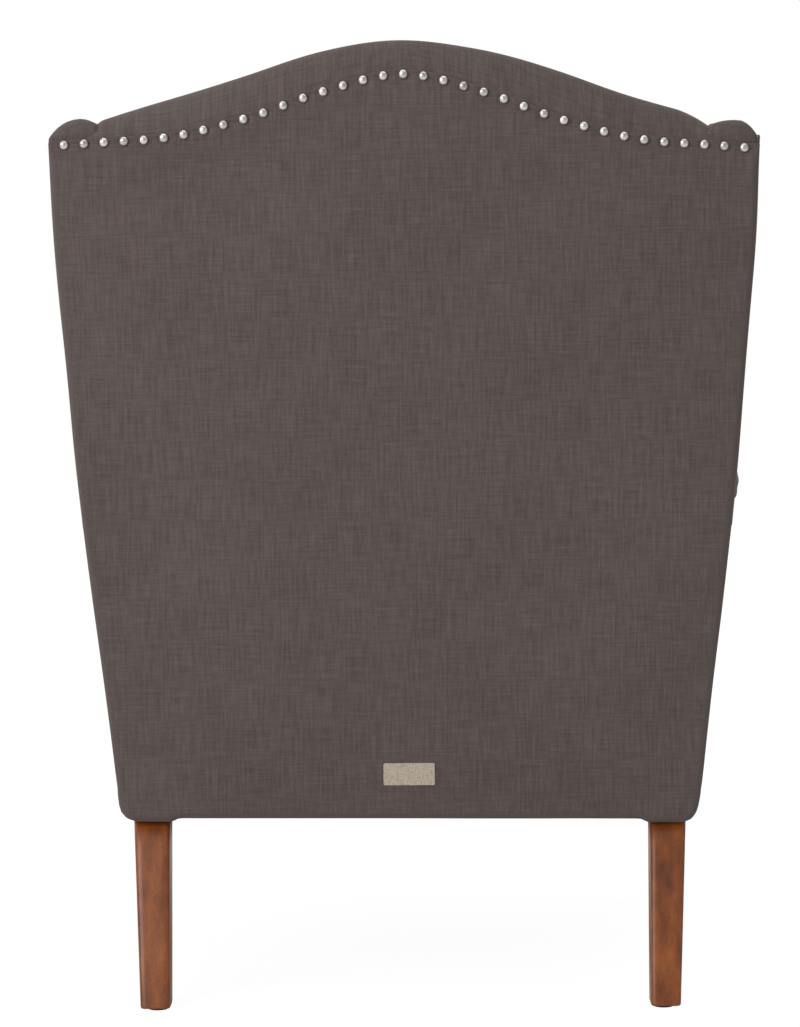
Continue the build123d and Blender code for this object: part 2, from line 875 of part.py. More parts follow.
def make_outside_back():
    """The outside back panel, from the rail up to the nail line, with rounded lower corners."""
    top_x = side_x(back_y(post_top), post_top)
    bottom_x = rear_half_width
    top = [
        Vector(top_x * share, 0, nail_z(top_x * share) + back_panel_above_nails)
        for share in station_shares
    ]
    low_left, low_right = Vector(-bottom_x, 0, leg_height), Vector(bottom_x, 0, leg_height)
    edges = [Spline(*top), Line(top[-1], low_right), Line(low_right, low_left), Line(low_left, top[0])]
    plate = back_plate(edges, 0, back_panel)
    corners = plate.edges().filter_by(Axis.Y).sort_by(Axis.Z)[:2]
    return fillet(corners, back_corner_radius)


# Buttons


def button_places():
    """Sideways place and height of each button, alternate rows set over by half a pitch."""
    places = []
    for row in range(button_rows):
        z = button_first_height + row * button_row_pitch
        limit = side_x(back_y(z), z) - wing_pad_depth - button_side_margin
        offset = button_column_pitch / 2 if row % 2 else 0
        count = floor((limit - offset) / button_column_pitch)
        columns = [offset + index * button_column_pitch for index in range(count + 1)]
        for x in columns:
            if z < crest_z(x) - crest_front_drop - tuft_radius:
                places += [(x, z)] if x == 0 else [(-x, z), (x, z)]
    return places


def surface_y(pad, x, z):
    """Depth at which a level line from the front meets a pad's face."""
    hits = pad.solids()[0].shell().find_intersection_points(Axis((x, -front_extent, z), along_y))
    return min(point.Y for point, _ in hits)


def make_buttons(pad):
    """Buttons, their twines and the hollows that they pull into the pad."""
    hollow_radius = (tuft_radius**2 + tuft_depth**2) / (2 * tuft_depth)
    dome_radius = (button_radius**2 + button_height**2) / (2 * button_height)
    buttons, twines, hollows = [], [], []
    for x, z in button_places():
        y = surface_y(pad, x, z) + tuft_depth
        hollows.append(Pos(x, y - hollow_radius, z) * Sphere(hollow_radius))
        dome = Pos(x, y - button_height + dome_radius, z) * Sphere(dome_radius)
        slab = rod(Vector(x, y - button_height, z), along_y, button_radius, button_height)
        buttons.append(dome & slab)
        length = back_y(z) - back_pad_inset - y - rake_slope * twine_radius
        twines.append(rod(Vector(x, y, z), along_y, twine_radius, length))
    return buttons, twines, hollows


# Loose cushion


def cushion_solid(inset):
    """The cushion: boxed, crowned on top, its sides bowed between the welts."""
    sections = []
    last = len(cushion_crown_shares) - 1
    for index, share in enumerate(cushion_crown_shares):
        run = cushion_rear_y - cushion_front_y - 2 * inset
        y = cushion_front_y + inset + run * index / last
        half = arm_inner_x(y) - cushion_side_gap - inset
        low, high = cushion_bottom + inset, cushion_top - inset
        middle = (low + high) / 2
        corners = [Vector(-half, y, low), Vector(half, y, low), Vector(half, y, high), Vector(-half, y, high)]
        edges = [
            Line(corners[0], corners[1]),
            ThreePointArc(corners[1], Vector(half + cushion_side_bow, y, middle), corners[2]),
            ThreePointArc(corners[2], Vector(0, y, high + cushion_crown * share), corners[3]),
            ThreePointArc(corners[3], Vector(-half - cushion_side_bow, y, middle), corners[0]),
        ]
        sections.append(Face(Wire(edges)))
    return loft(sections)


def make_welts():
    """Piping round the cushion's upper and lower edges."""
    welts = []
    front = cushion_front_y + welt_radius
    rear = cushion_rear_y - welt_radius
    front_half = arm_inner_x(front) - cushion_side_gap - welt_radius
    rear_half = arm_inner_x(rear) - cushion_side_gap - welt_radius
    for z in (cushion_bottom + welt_radius, cushion_top - welt_radius):
        corners = [(front_half, front), (rear_half, rear), (-rear_half, rear), (-front_half, front)]
        points = [Vector(x, y, z) for x, y in corners]
        loop = FilletPolyline(*points, radius=welt_corner_radius, close=True)
        start = loop.position_at(0)
        section = Plane(start, z_dir=loop.tangent_at(0)) * Circle(welt_radius)
        welts.append(sweep(section, path=loop))
    return welts


zip_z = (cushion_bottom + cushion_top) / 2
zip_floor_y = cushion_rear_y - zip_pocket_depth


def make_zip_pocket():
    centre = Vector(0, cushion_rear_y, zip_z)
    return Pos(*centre) * Box(2 * zip_half_length, 2 * zip_pocket_depth, zip_height)


def make_zip_chain():
    y = zip_floor_y + chain_thickness / 2
    return Pos(0, y, zip_z) * Box(2 * zip_half_length, chain_thickness, chain_height)


def make_zip_slider():
    """The slider at its closed end, its tab lying flat along the zip."""
    y_low = zip_floor_y + chain_thickness + clearance
    x_end = zip_half_length - slider_end_gap
    body_y = y_low + slider_thickness / 2
    body = Pos(x_end - slider_length / 2, body_y, zip_z) * Box(slider_length, slider_thickness, slider_height)
    tab_y = y_low + slider_thickness - slider_tab_thickness / 2
    tab_x = x_end - slider_length - slider_tab_length / 2
    tab = Pos(tab_x, tab_y, zip_z) * Box(slider_tab_length, slider_tab_thickness, slider_tab_height)
    return body + tab


# Nailheads and label


def make_nail(place, inward):
    """A domed nail whose head's rim lies round a place, driven inward."""
    dome_radius = (nail_head_radius**2 + nail_dome_height**2) / (2 * nail_dome_height)
    centre = place + inward * (dome_radius - nail_dome_height)
    rim = rod(place - inward * nail_dome_height, inward, nail_head_radius, nail_dome_height)
    return (Pos(*centre) * Sphere(dome_radius) & rim) + rod(place, inward, nail_shank_radius, nail_shank_length)


def make_back_nails():
    """The row of nails along the top of the outside back, square to the raked back."""
    inward = Vector(0, -1, rake_slope).normalized()
    nails = []
    for index in range(-nail_line_half_count, nail_line_half_count + 1):
        x = index * nail_pitch
        nails.append(make_nail(Vector(x, back_y(nail_z(x)), nail_z(x)), inward))
    return nails


def make_facing_nails():
    """Nails round the right arm's facing: up the stem, round the head and down outside."""
    y = facing_front_y
    radius = arm_roll_radius - facing_nail_inset
    centre_x = roll_x(frame_front_y)
    low = leg_height + facing_nail_inset
    tuck_fall = arm_roll_height - arm_rail_bottom
    inner_low = Vector(centre_x - radius, y, low)
    spring_line = Vector(centre_x - radius, y, arm_roll_height)
    crown = Vector(centre_x, y, arm_roll_height + radius)
    tuck = Vector(centre_x + sqrt(radius**2 - tuck_fall**2), y, arm_rail_bottom)
    outer_low = Vector(side_x(frame_front_y, low) - facing_nail_inset, y, low)
    path = Wire([Line(inner_low, spring_line), ThreePointArc(spring_line, crown, tuck), Line(tuck, outer_low)])
    spaces = round(path.length / nail_pitch)
    return [make_nail(path.position_at(step / spaces), along_y) for step in range(spaces + 1)]


def make_tag():
    """The bare label sewn low on the outside back."""
    corners = [
        Vector(x, back_y(z), z)
        for x, z in (
            (-tag_half_width, tag_bottom), (tag_half_width, tag_bottom),
            (tag_half_width, tag_bottom + tag_height), (-tag_half_width, tag_bottom + tag_height),
        )
    ]
    return extrude(polygon_face(corners), amount=tag_thickness, dir=along_y)


# Assembly: rigid pieces first, then the padding is cut to what it is laid over


def build_parts():
    parts = {}
    right_dowels = make_dowels()
    dowels = right_dowels + [mirrored(pin) for pin in right_dowels]
    right_screws, right_bores = make_block_screws()
    screws = right_screws + [mirrored(screw) for screw in right_screws]
    leg_places = [(front_leg_x, front_leg_y), (rear_bolt_x, rear_bolt_y)]
    right_bolts = [make_leg_bolt(x, y) for x, y in leg_places]
    right_nuts = [fitted(make_leg_nut(x, y), bolt) for (x, y), bolt in zip(leg_places, right_bolts)]
    glide_places = [
        (front_leg_x, front_leg_y),
        (rear_leg_foot_x, rear_leg_foot_rear_y - rear_leg_foot_depth / 2),
    ]
    right_glides = [make_glide(x, y) for x, y in glide_places]
    back_nails = make_back_nails()
    right_facing_nails = make_facing_nails()

    back_post = fitted(make_back_post(), *right_dowels)
    arm_post = fitted(make_arm_post(), *right_dowels, *right_bolts, *right_nuts)
    side_rail = fitted(make_side_rail(), *right_dowels, *right_screws)
    arm_rail = fitted(make_arm_rail(), *right_dowels)
    wing_post = fitted(make_wing_post(), *right_dowels)
    wing_rail = fitted(make_wing_rail(), *right_dowels)
    arm_board = keyhole(arm_board_radius, arm_board_inset, facing_rear_y, arm_board_thickness)
    arm_board = fitted(arm_board, *right_facing_nails)
    facing = keyhole(arm_roll_radius - clearance, clearance, facing_front_y, facing_thickness)
    facing = fitted(facing, *right_facing_nails)
    rear_rail = fitted(make_rear_rail(), *dowels, *screws)
    front_rail = fitted(make_front_rail(), *dowels, *screws)
    tack_rail = fitted(make_tack_rail(), *dowels)
    posts = both_sides(make_back_post())
    crest_rail = make_crest_rail()
    back_post_right = fitted(back_post, *back_nails)
    rear_block = make_corner_block(from_back(back_panel + rail_thickness), 1)
    front_block = make_corner_block(fixed(frame_front_y + rail_thickness), -1)
    cuts = right_bolts + right_nuts + right_screws + right_bores
    blocks = [fitted(block, make_back_post(), make_arm_post(), *cuts) for block in (rear_block, front_block)]
    rear_leg = fitted(make_rear_leg(), *right_bolts, *right_glides)
    front_leg = fitted(make_front_leg(), *right_bolts, *right_glides)

    wing_pad = make_wing_pad()
    outside_wing = make_outside_wing()
    outside_arm = make_outside_arm()
    arm_pad = make_arm_pad()
    back_pad = make_back_pad() & make_back_limit()
    crest_roll = make_crest_roll()
    buttons, twines, hollows = make_buttons(back_pad)
    crosses = make_crosses()
    uprights = make_uprights()
    back_hessian = make_back_hessian()
    outside_back = fitted(make_outside_back(), *back_nails)
    wing_pads = both_sides(wing_pad)
    arm_pads = both_sides(arm_pad)
    inside_wing = fitted(
        wing_pad, outside_wing, make_wing_post(), make_wing_rail(), make_back_post(),
        crest_rail, make_outside_back(), back_hessian, *crosses,
    )
    inside_arm = fitted(
        arm_pad, make_arm_rail(), make_arm_post(), make_wing_post(), outside_wing, wing_pad,
        keyhole(arm_board_radius, arm_board_inset, facing_rear_y, arm_board_thickness),
    )
    inside_back = fitted(fitted(back_pad, crest_roll, *wing_pads, *arm_pads, *hollows), *buttons, *twines)
    crest_pad = fitted(crest_roll, crest_rail, make_outside_back(), back_hessian, *wing_pads, *posts)
    border = fitted(make_front_border(), *arm_pads)
    deck_pad = deck_layer(hessian_top, deck_pad_top, frame_front_y + border_lip, spring_rear_y)
    seat_hessian = deck_layer(hessian_bottom, hessian_top, frame_front_y, spring_rear_y)

    pairs = {
        "back_post": back_post_right,
        "arm_post": arm_post,
        "side_seat_rail": side_rail,
        "arm_rail": arm_rail,
        "wing_post": wing_post,
        "wing_rail": wing_rail,
        "arm_front_board": arm_board,
        "rear_leg": rear_leg,
        "front_leg": front_leg,
        "inside_arm": inside_arm,
        "outside_arm": outside_arm,
        "inside_wing": inside_wing,
        "outside_wing": outside_wing,
        "arm_facing": facing,
    }
    for name, shape in pairs.items():
        parts[name + "_right"] = shape
        parts[name + "_left"] = mirrored(shape)
    twins = {
        "frame_dowels": right_dowels,
        "corner_blocks": blocks,
        "corner_block_screws": right_screws,
        "leg_bolts": right_bolts,
        "leg_nuts": right_nuts,
        "leg_glides": right_glides,
        "arm_facing_nails": right_facing_nails,
    }
    for name, shapes in twins.items():
        parts[name] = group(shapes + [mirrored(shape) for shape in shapes])
    places = spring_places()
    parts["rear_seat_rail"] = rear_rail
    parts["front_seat_rail"] = front_rail
    parts["back_tack_rail"] = tack_rail
    parts["crest_rail"] = fitted(crest_rail, *dowels, *back_nails)
    parts["seat_springs"] = group([make_spring(x) for x in places])
    parts["spring_clips"] = group([clip for x in places for clip in make_clips(x)])
    parts["seat_hessian"] = seat_hessian
    parts["deck_pad"] = fitted(deck_pad, back_pad, *arm_pads)
    parts["front_border"] = border
    parts["dust_cover"] = fitted(make_dust_cover(), *both_sides(make_rear_leg()), *both_sides(make_front_leg()))
    parts["back_webbing_upright"] = group(uprights)
    parts["back_webbing_cross"] = group(crosses)
    parts["back_hessian"] = back_hessian
    parts["inside_back"] = inside_back
    parts["crest_roll"] = crest_pad
    parts["back_buttons"] = group(buttons)
    parts["button_twines"] = group(twines)
    parts["outside_back"] = outside_back
    parts["back_nails"] = group(back_nails)
    parts["label_tag"] = make_tag()
    welts = make_welts()
    core = fitted(cushion_solid(cushion_cover_thickness), *welts)
    parts["cushion_core"] = core
    parts["cushion_cover"] = fitted(cushion_solid(0), core, make_zip_pocket(), *welts)
    parts["cushion_welts"] = group(welts)
    parts["cushion_zip_chain"] = make_zip_chain()
    parts["zip_slider"] = make_zip_slider()
    return parts


def main():
    os.makedirs("parts", exist_ok=True)
    for name, shape in build_parts().items():
        export_step(shape, f"parts/{name}.step")


if __name__ == "__main__":
    main()
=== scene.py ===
import json
import math

import bpy
import numpy as np
from mathutils import Matrix


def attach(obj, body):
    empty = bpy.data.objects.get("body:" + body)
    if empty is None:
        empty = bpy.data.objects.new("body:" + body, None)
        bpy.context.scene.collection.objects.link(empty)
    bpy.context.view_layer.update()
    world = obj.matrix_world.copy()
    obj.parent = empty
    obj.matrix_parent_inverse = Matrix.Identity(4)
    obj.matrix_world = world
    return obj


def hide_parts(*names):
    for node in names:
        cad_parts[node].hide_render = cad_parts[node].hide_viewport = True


bl_info = {
    "name": "Camelback Wing Chair",
    "version": (1, 0, 0),
    "blender": (4, 5, 0),
    "location": "View3D > Sidebar > Wing Chair",
    "description": "Dresses the packed wing chair in linen, padding, stained wood and nickel nails",
    "category": "Object",
}

# The sitter faces -Y and +Z is up. Metres. "right" is the +X side.
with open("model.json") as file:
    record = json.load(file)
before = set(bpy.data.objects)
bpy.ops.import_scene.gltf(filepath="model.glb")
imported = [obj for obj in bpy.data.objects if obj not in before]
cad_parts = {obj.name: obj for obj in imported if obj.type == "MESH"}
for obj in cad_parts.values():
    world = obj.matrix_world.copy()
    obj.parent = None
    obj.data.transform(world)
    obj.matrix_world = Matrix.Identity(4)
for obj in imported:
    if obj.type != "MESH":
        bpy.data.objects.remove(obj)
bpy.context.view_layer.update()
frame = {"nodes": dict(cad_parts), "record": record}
SIDES = (("right", 1.0), ("left", -1.0))

# Sizes shared with the part's source
LEG_HEIGHT = 0.214
GLIDE_THICKNESS = 0.003
FRONT_LEG_X = 0.346
FRONT_LEG_Y = -0.362
BACK_BOTTOM_Y = 0.308
RAKE = 0.11005
SPLAY = 0.05339
REAR_HALF = 0.333
LEAN = 0.09218
FACING_FRONT_Y = -0.406
FACING_REAR_Y = -0.400
FRAME_FRONT_Y = -0.385
ARM_INNER_HALF = 0.304
ROLL_RADIUS = 0.060
ROLL_HEIGHT = 0.586
ROLL_END_Y = 0.170
ARM_RAIL_BOTTOM = 0.54128
ARM_RAIL_TOP = 0.56328
ARM_PAD = 0.046
WING_TOP = 1.000
WING_REACH = 0.257
WING_DEPTH = 0.056
WING_REACH_SHARES = (0.724, 0.778, 0.942, 1, 0.887, 0.595, 0.276)
WING_RISE_SHARES = (0, 0.205, 0.455, 0.636, 0.818, 0.936, 0.989)
CREST_HALF = 0.345
CREST_HEIGHT = 1.089
CREST_DROP = 0.088
CREST_SHARES = (0, 0.105, 0.376, 0.696, 1)
NAIL_TOP = 1.050
NAIL_DROP = 0.0765
NAIL_END_DROP = 0.080
NAIL_SHARES = (0, 0.242, 0.630, 0.908, 1)
SHOULDER_HALF = 0.3935
PANEL_ABOVE_NAILS = 0.0075
CREST_TOP_INSET = 0.028
CREST_FRONT_DROP = 0.060
PAD_INSET = 0.045
PAD_BOTTOM = 0.346
PAD_TOP = 1.046
PAD_THICKNESS = 0.112
PAD_LEVELS = (0, 0.18, 0.45, 0.74, 1)
PAD_SHARES = (1, 1.02, 0.88, 0.68, 0.46)
PAD_CROWN = 0.024
BUTTON_FIRST = 0.610
BUTTON_ROWS = 5
BUTTON_ROW = 0.084
BUTTON_COLUMN = 0.120
BUTTON_RADIUS = 0.012
TUFT_DEPTH = 0.016
CUSHION_FRONT = -0.392
CUSHION_REAR = 0.164
CUSHION_BOTTOM = 0.3503
CUSHION_BOXING = 0.120
CUSHION_GAP = 0.007
NAIL_PITCH = 0.0222
NAIL_HALF_COUNT = 17

# Sizes of the covers alone. The sewn sides bulge by these amounts past a straight line, at seven
# even levels from the seat rail to the wing's top.
SIDE_EASE = (0.0010, 0.0022, 0.0053, 0.0066, 0.0046, 0.0026, -0.0052)
# Rise of the nail line for each metre towards +X, and how far the crest leans that way
NAIL_TILT = 0.0120
CREST_LEAN = 0.003
# Thickness of the outside back's turned edge, and height where its corners meet the outside wings
BACK_EDGE = 0.0075
SHOULDER_HEIGHT = 0.968
# Lowest edges of the front's facings and border and of the outside arms, tops of border and deck
FRONT_BOTTOM = 0.2125
OUTSIDE_ARM_BOTTOM = 0.2115
BORDER_TOP = 0.350
DECK_TOP = 0.3498
DECK_REAR = 0.262
# Distance of the facing's nails from its edge
FACING_NAIL_INSET = 0.014
# From the arm roll's middle: distance down to the arm rail's underside, and height, which is
# negative, of the inside arm's foot
ROLL_TO_RAIL = ROLL_HEIGHT - ARM_RAIL_BOTTOM
SLAB_FOOT = 0.322 - ROLL_HEIGHT
# Points of the plane that see all of a wing, of the outside arm and of the outside back
WING_HEART = np.array([0.262, 0.780])
OUTSIDE_ARM_HEART = np.array([-0.04, 0.38])
BACK_HEART = np.array([0, 0.62])
# Spacing of the points on an outline with nails, and on a wing's
NAILED_STEP = 0.0042
WING_STEP = 0.0055
# The cushion's seams lie this far inside its sides; its zip's height, half length and slot floor
SEAM_INSET = 0.0025
ZIP_HEIGHT = 0.4103
ZIP_HALF = 0.206
ZIP_FLOOR_Y = 0.1586


# Lines and planes of the chair


def smooth_share(shares, place):
    """A cubic through evenly spaced shares; each cell blends its ends by 3t^2 - 2t^3 plus slopes."""
    shares = np.asarray(shares, float)
    steps = len(shares) - 1
    place = np.clip(np.asarray(place, float), 0, 1) * steps
    cell = np.minimum(place.astype(int), steps - 1)
    t = place - cell
    start, end = shares[cell], shares[cell + 1]
    before = shares[np.abs(cell - 1)]
    after = np.where(cell + 2 <= steps, shares[np.minimum(cell + 2, steps)], 2 * end - start)
    bend = t * (1 - t) * ((end - before) / 2 * (1 - t) - (after - start) / 2 * t)
    return start + (end - start) * t * t * (3 - 2 * t) + bend


def back_y(z):
    """The raked plane of the back: depth grows by the rake for each metre of height."""
    return BACK_BOTTOM_Y + RAKE * (np.asarray(z, float) - LEG_HEIGHT)


def side_x(y, z):
    """Half width of the side: splayed to the front, leaning out upwards, eased as sewn cloth is."""
    z = np.asarray(z, float)
    straight = REAR_HALF + SPLAY * (BACK_BOTTOM_Y - np.asarray(y, float)) + LEAN * (z - LEG_HEIGHT)
    return straight + smooth_share(SIDE_EASE, (z - LEG_HEIGHT) / (WING_TOP - LEG_HEIGHT))


def roll_x(y):
    """Half width of the arm roll's centre line."""
    return ARM_INNER_HALF + ROLL_RADIUS + SPLAY * (FRAME_FRONT_Y - np.asarray(y, float))


def arm_inner_x(y):
    """Half width between the arms."""
    return roll_x(y) - ROLL_RADIUS


def crest_z(x):
    """The camelback: a smooth fall from the middle to the wings."""
    return CREST_HEIGHT - CREST_DROP * smooth_share(CREST_SHARES, np.abs(x) / CREST_HALF)


def nail_z(x):
    """The nail line, nearly level over the wings' ends."""
    x = np.abs(x)
    past = np.maximum(x - CREST_HALF, 0) / (SHOULDER_HALF - CREST_HALF)
    drop = NAIL_DROP * smooth_share(NAIL_SHARES, x / CREST_HALF)
    return NAIL_TOP - drop - (NAIL_END_DROP - NAIL_DROP) * past


def nail_line(x):
    """The nail line as driven by hand: it climbs a little towards +X."""
    return nail_z(x) + NAIL_TILT * np.asarray(x, float)


def pad_front_y(z):
    """Face of the inside back at the middle, between the thicknesses given at its levels."""
    place = (np.asarray(z, float) - PAD_BOTTOM) / (PAD_TOP - PAD_BOTTOM)
    return back_y(z) - PAD_INSET - PAD_THICKNESS * np.interp(place, PAD_LEVELS, PAD_SHARES)


def back_nail_places():
    """Nailheads an even pitch apart in x, both ways from the middle."""
    x = np.arange(-NAIL_HALF_COUNT, NAIL_HALF_COUNT + 1) * NAIL_PITCH
    return np.stack([x, nail_line(x)], 1)


def facing_path():
    """The facing's nail line: up the stem, round the head, down outside, as a dense polyline."""
    radius = ROLL_RADIUS - FACING_NAIL_INSET
    centre = float(roll_x(FRAME_FRONT_Y))
    low = LEG_HEIGHT + FACING_NAIL_INSET
    head = roll_arc(radius, 80) + (centre, ROLL_HEIGHT)
    outer = float(side_x(FRAME_FRONT_Y, low)) - FACING_NAIL_INSET
    return np.concatenate([[[centre - radius, low]], head, [[outer, low]]])


def facing_nail_places():
    """Nailheads evenly spaced along the facing's path, as near to the back nails' pitch as fits."""
    path = facing_path()
    run = run_along(path)
    count = int(round(run[-1] / NAIL_PITCH)) + 1
    at = np.linspace(0, run[-1], count)
    return np.stack([np.interp(at, run, path[:, 0]), np.interp(at, run, path[:, 1])], 1)


def button_places():
    """The buttons' lattice: alternate rows set over by half a pitch, inside the wings and crest."""
    clear_of_wing, clear_of_crest = 0.060, 0.036
    places = []
    for row in range(BUTTON_ROWS):
        z = BUTTON_FIRST + row * BUTTON_ROW
        side = REAR_HALF + SPLAY * (BACK_BOTTOM_Y - float(back_y(z))) + LEAN * (z - LEG_HEIGHT)
        limit = side - WING_DEPTH - clear_of_wing
        offset = BUTTON_COLUMN / 2 if row % 2 else 0
        for index in range(int((limit - offset) / BUTTON_COLUMN) + 1):
            x = offset + index * BUTTON_COLUMN
            if z < crest_z(x) - CREST_FRONT_DROP - clear_of_crest:
                places += [(x, z)] if x == 0 else [(-x, z), (x, z)]
    return np.array(places)


# Curves and meshes


def circle(count):
    """Angles evenly spaced round a full turn, without the repeated last one."""
    return np.linspace(0, 2 * math.pi, count + 1)[:-1]


def roll_arc(radius, count):
    """Section of a roll about its middle: an arc from its inner side over the top to the arm rail."""
    angle = np.linspace(math.pi, -math.asin(ROLL_TO_RAIL / radius), count)
    return np.stack([radius * np.cos(angle), radius * np.sin(angle)], 1)


def run_along(points):
    """Distance along a polyline to each of its points: the sum of the lengths before it."""
    return np.concatenate([[0], np.cumsum(np.linalg.norm(np.diff(points, axis=0), axis=1))])


def section_uv(along, section, closing):
    """Cloth coordinates of a section carried along a line: the distance along, then the distance round
    the section, with one more column, closing further on, that joins its end to its start."""
    uv = np.stack([along, np.broadcast_to(run_along(section)[None], along.shape)], -1)
    return np.concatenate([uv, uv[:, -1:] + (0, closing)], 1)


def resampled(points, step, closed=False):
    """The same polyline with points an even distance apart."""
    points = np.asarray(points, float)
    if closed:
        points = np.concatenate([points, points[:1]])
    run = run_along(points)
    count = max(int(round(run[-1] / step)), 3)
    at = np.linspace(0, run[-1], count + 1)
    out = np.stack([np.interp(at, run, points[:, axis]) for axis in range(points.shape[1])], 1)
    return out[:-1] if closed else out


def through(points, per_span):
    """A Catmull-Rom curve: each span is a cubic whose end slopes are half the neighbours' chord."""
    points = np.asarray(points, float)
    ends = np.concatenate([[2 * points[0] - points[1]], points, [2 * points[-1] - points[-2]]])
    t = np.linspace(0, 1, per_span, endpoint=False)[:, None]
    spans = []
    for a, b, c, d in zip(ends, ends[1:], ends[2:], ends[3:]):
        square, cube = 2 * a - 5 * b + 4 * c - d, 3 * b - a - 3 * c + d
        spans.append(0.5 * (2 * b + (c - a) * t + square * t**2 + cube * t**3))
    return np.concatenate(spans + [points[-1:]])


def rounded_loop(corners, radii, step):
    """A closed polygon with each corner turned on an arc-like curve of its own radius."""
    corners = np.asarray(corners, float)
    pieces = []
    for index, (corner, radius) in enumerate(zip(corners, radii)):
        to_before = corners[index - 1] - corner
        to_after = corners[(index + 1) % len(corners)] - corner
        start = corner + to_before / np.linalg.norm(to_before) * radius
        end = corner + to_after / np.linalg.norm(to_after) * radius
        t = np.linspace(0, 1, 9)[:, None]
        pieces.append(start * (1 - t) ** 2 + 2 * corner * t * (1 - t) + end * t**2)
    return resampled(np.concatenate(pieces), step, closed=True)


def outward(loop):
    """Unit normals of a closed plane loop, pointing out of it."""
    along = np.roll(loop, -1, 0) - np.roll(loop, 1, 0)
    normal = np.stack([along[:, 1], -along[:, 0]], 1)
    normal /= np.maximum(np.linalg.norm(normal, axis=1, keepdims=True), 1e-9)
    area = np.sum(loop[:, 0] * np.roll(loop[:, 1], -1) - np.roll(loop[:, 0], -1) * loop[:, 1])
    return normal if area > 0 else -normal


def signed_volume(a, b, c):
    """Six times the volume between the origin and triangles a, b, c: negative if they face inwards."""
    return np.einsum("ij,ij->i", a, np.cross(b, c)).sum()


def skin(name, patches, material):
    """One mesh from patches of (rings, uv, looped): quads join each ring of points to the next, and a
    flat cap closes the first and last ring of a patch that isn't looped. Turned to face outwards."""
    points, faces, coords = [], [], []
    base = 0
    for rings, uv, looped in patches:
        count, around = rings.shape[:2]
        index = np.arange(count * around).reshape(count, around) + base
        rows = np.concatenate([index, index[:1]]) if looped else index
        wrapped = np.concatenate([rows, rows[:, :1]], 1)
        if uv.shape[1] == around:
            uv = np.concatenate([uv, uv[:, :1]], 1)
        if looped and uv.shape[0] == count:
            uv = np.concatenate([uv, uv[:1]])
        corner = ((0, 0), (0, 1), (1, 1), (1, 0))
        bands = len(wrapped) - 1
        quads = np.stack([wrapped[a:a + bands, b:b + around] for a, b in corner], -1).reshape(-1, 4)
        quad_uv = np.stack([uv[a:a + bands, b:b + around] for a, b in corner], -2).reshape(-1, 4, 2)
        flat = rings.reshape(-1, 3)
        middle = flat.mean(0)
        a, b, c, d = (flat[quads - base] - middle).transpose(1, 0, 2)
        volume = signed_volume(a, b, c) + signed_volume(a, c, d)
        caps = []
        if not looped:
            caps = [(index[0][::-1], uv[0, :around][::-1]), (index[-1], uv[-1, :around])]
            for ring in (rings[0][::-1] - middle, rings[-1] - middle):
                centre = np.broadcast_to(ring.mean(0), ring.shape)
                volume += signed_volume(centre, ring, np.roll(ring, -1, 0))
        if volume < 0:
            quads, quad_uv = quads[:, ::-1], quad_uv[:, ::-1]
            caps = [(cap[::-1], cap_uv[::-1]) for cap, cap_uv in caps]
        points.append(flat)
        faces += quads.tolist() + [cap.tolist() for cap, _ in caps]
        coords += [quad_uv.reshape(-1, 2)] + [cap_uv for _, cap_uv in caps]
        base += count * around
    mesh = bpy.data.meshes.new(name)
    mesh.from_pydata(np.concatenate(points).tolist(), [], faces)
    layer = mesh.uv_layers.new(name="cloth")
    layer.data.foreach_set("uv", np.concatenate(coords).astype(np.float32).ravel())
    mesh.polygons.foreach_set("use_smooth", np.ones(len(faces), bool))
    mesh.materials.append(material)
    mesh.update()
    obj = bpy.data.objects.new(name, mesh)
    bpy.context.scene.collection.objects.link(obj)
    return obj


def plate(loop, heart, round_in, half, thickness, crown, inner, power=2.0, full=False):
    """A padded plate from a closed plane outline that its heart sees all of. Returns rings of plane
    points, their depth behind the face and their unrolled cloth coordinates. The face is a dome of
    height crown, falling as 1 - r^2, with rings at the inner shares of the way out; the rim is a
    quarter (or, if full, a half) superellipse of the given power that comes in by round_in and back
    by half; the rear is flat."""
    normal = outward(loop)
    round_in = np.broadcast_to(np.asarray(round_in, float), (len(loop),))[:, None]
    start = loop - normal * round_in
    shares = np.append(np.asarray(inner, float), 1.0)
    rings = [heart + (start - heart) * share for share in shares]
    depths = [np.full(len(loop), -crown * (1 - share**2)) for share in shares]
    cloth = list(rings)
    last, last_depth, run = rings[-1], depths[-1], np.zeros(len(loop))
    turns = np.linspace(0, math.pi if full else math.pi / 2, 15 if full else 8)[1:]
    for turn in turns:
        out = abs(math.sin(turn)) ** (2 / power)
        fall = 1 - math.copysign(abs(math.cos(turn)) ** (2 / power), math.cos(turn))
        ring = loop - normal * round_in * (1 - out)
        depth = np.full(len(loop), half * fall)
        run = run + np.hypot(np.linalg.norm(ring - last, axis=1), depth - last_depth)
        rings.append(ring)
        depths.append(depth)
        cloth.append(start + normal * run[:, None])
        last, last_depth = ring, depth
    if not full and thickness > half:
        run = run + (thickness - half)
        rings.append(loop)
        depths.append(np.full(len(loop), thickness))
        cloth.append(start + normal * run[:, None])
    for share in (0.9, 0.6, 0.05):
        rings.append(heart + (start - heart) * share)
        depths.append(np.full(len(loop), 2 * half if full else thickness))
        cloth.append(rings[-1])
    return np.array(rings), np.array(depths), np.array(cloth)


def near(points, places, reach):
    """Sum over places of exp(-(d / reach)^2), at most 1: how near each point is to any of them."""
    total = np.zeros(points.shape[:-1])
    for place in places:
        total += np.exp(-np.sum((points - place) ** 2, axis=-1) / reach**2)
    return np.minimum(total, 1)


def rim(loop, corners, wide, cut):
    """How far in a flat panel's rounding starts: wide, less the cut near its sharp corners, where the
    rings would cross."""
    return wide - cut * near(loop, corners, 0.012)


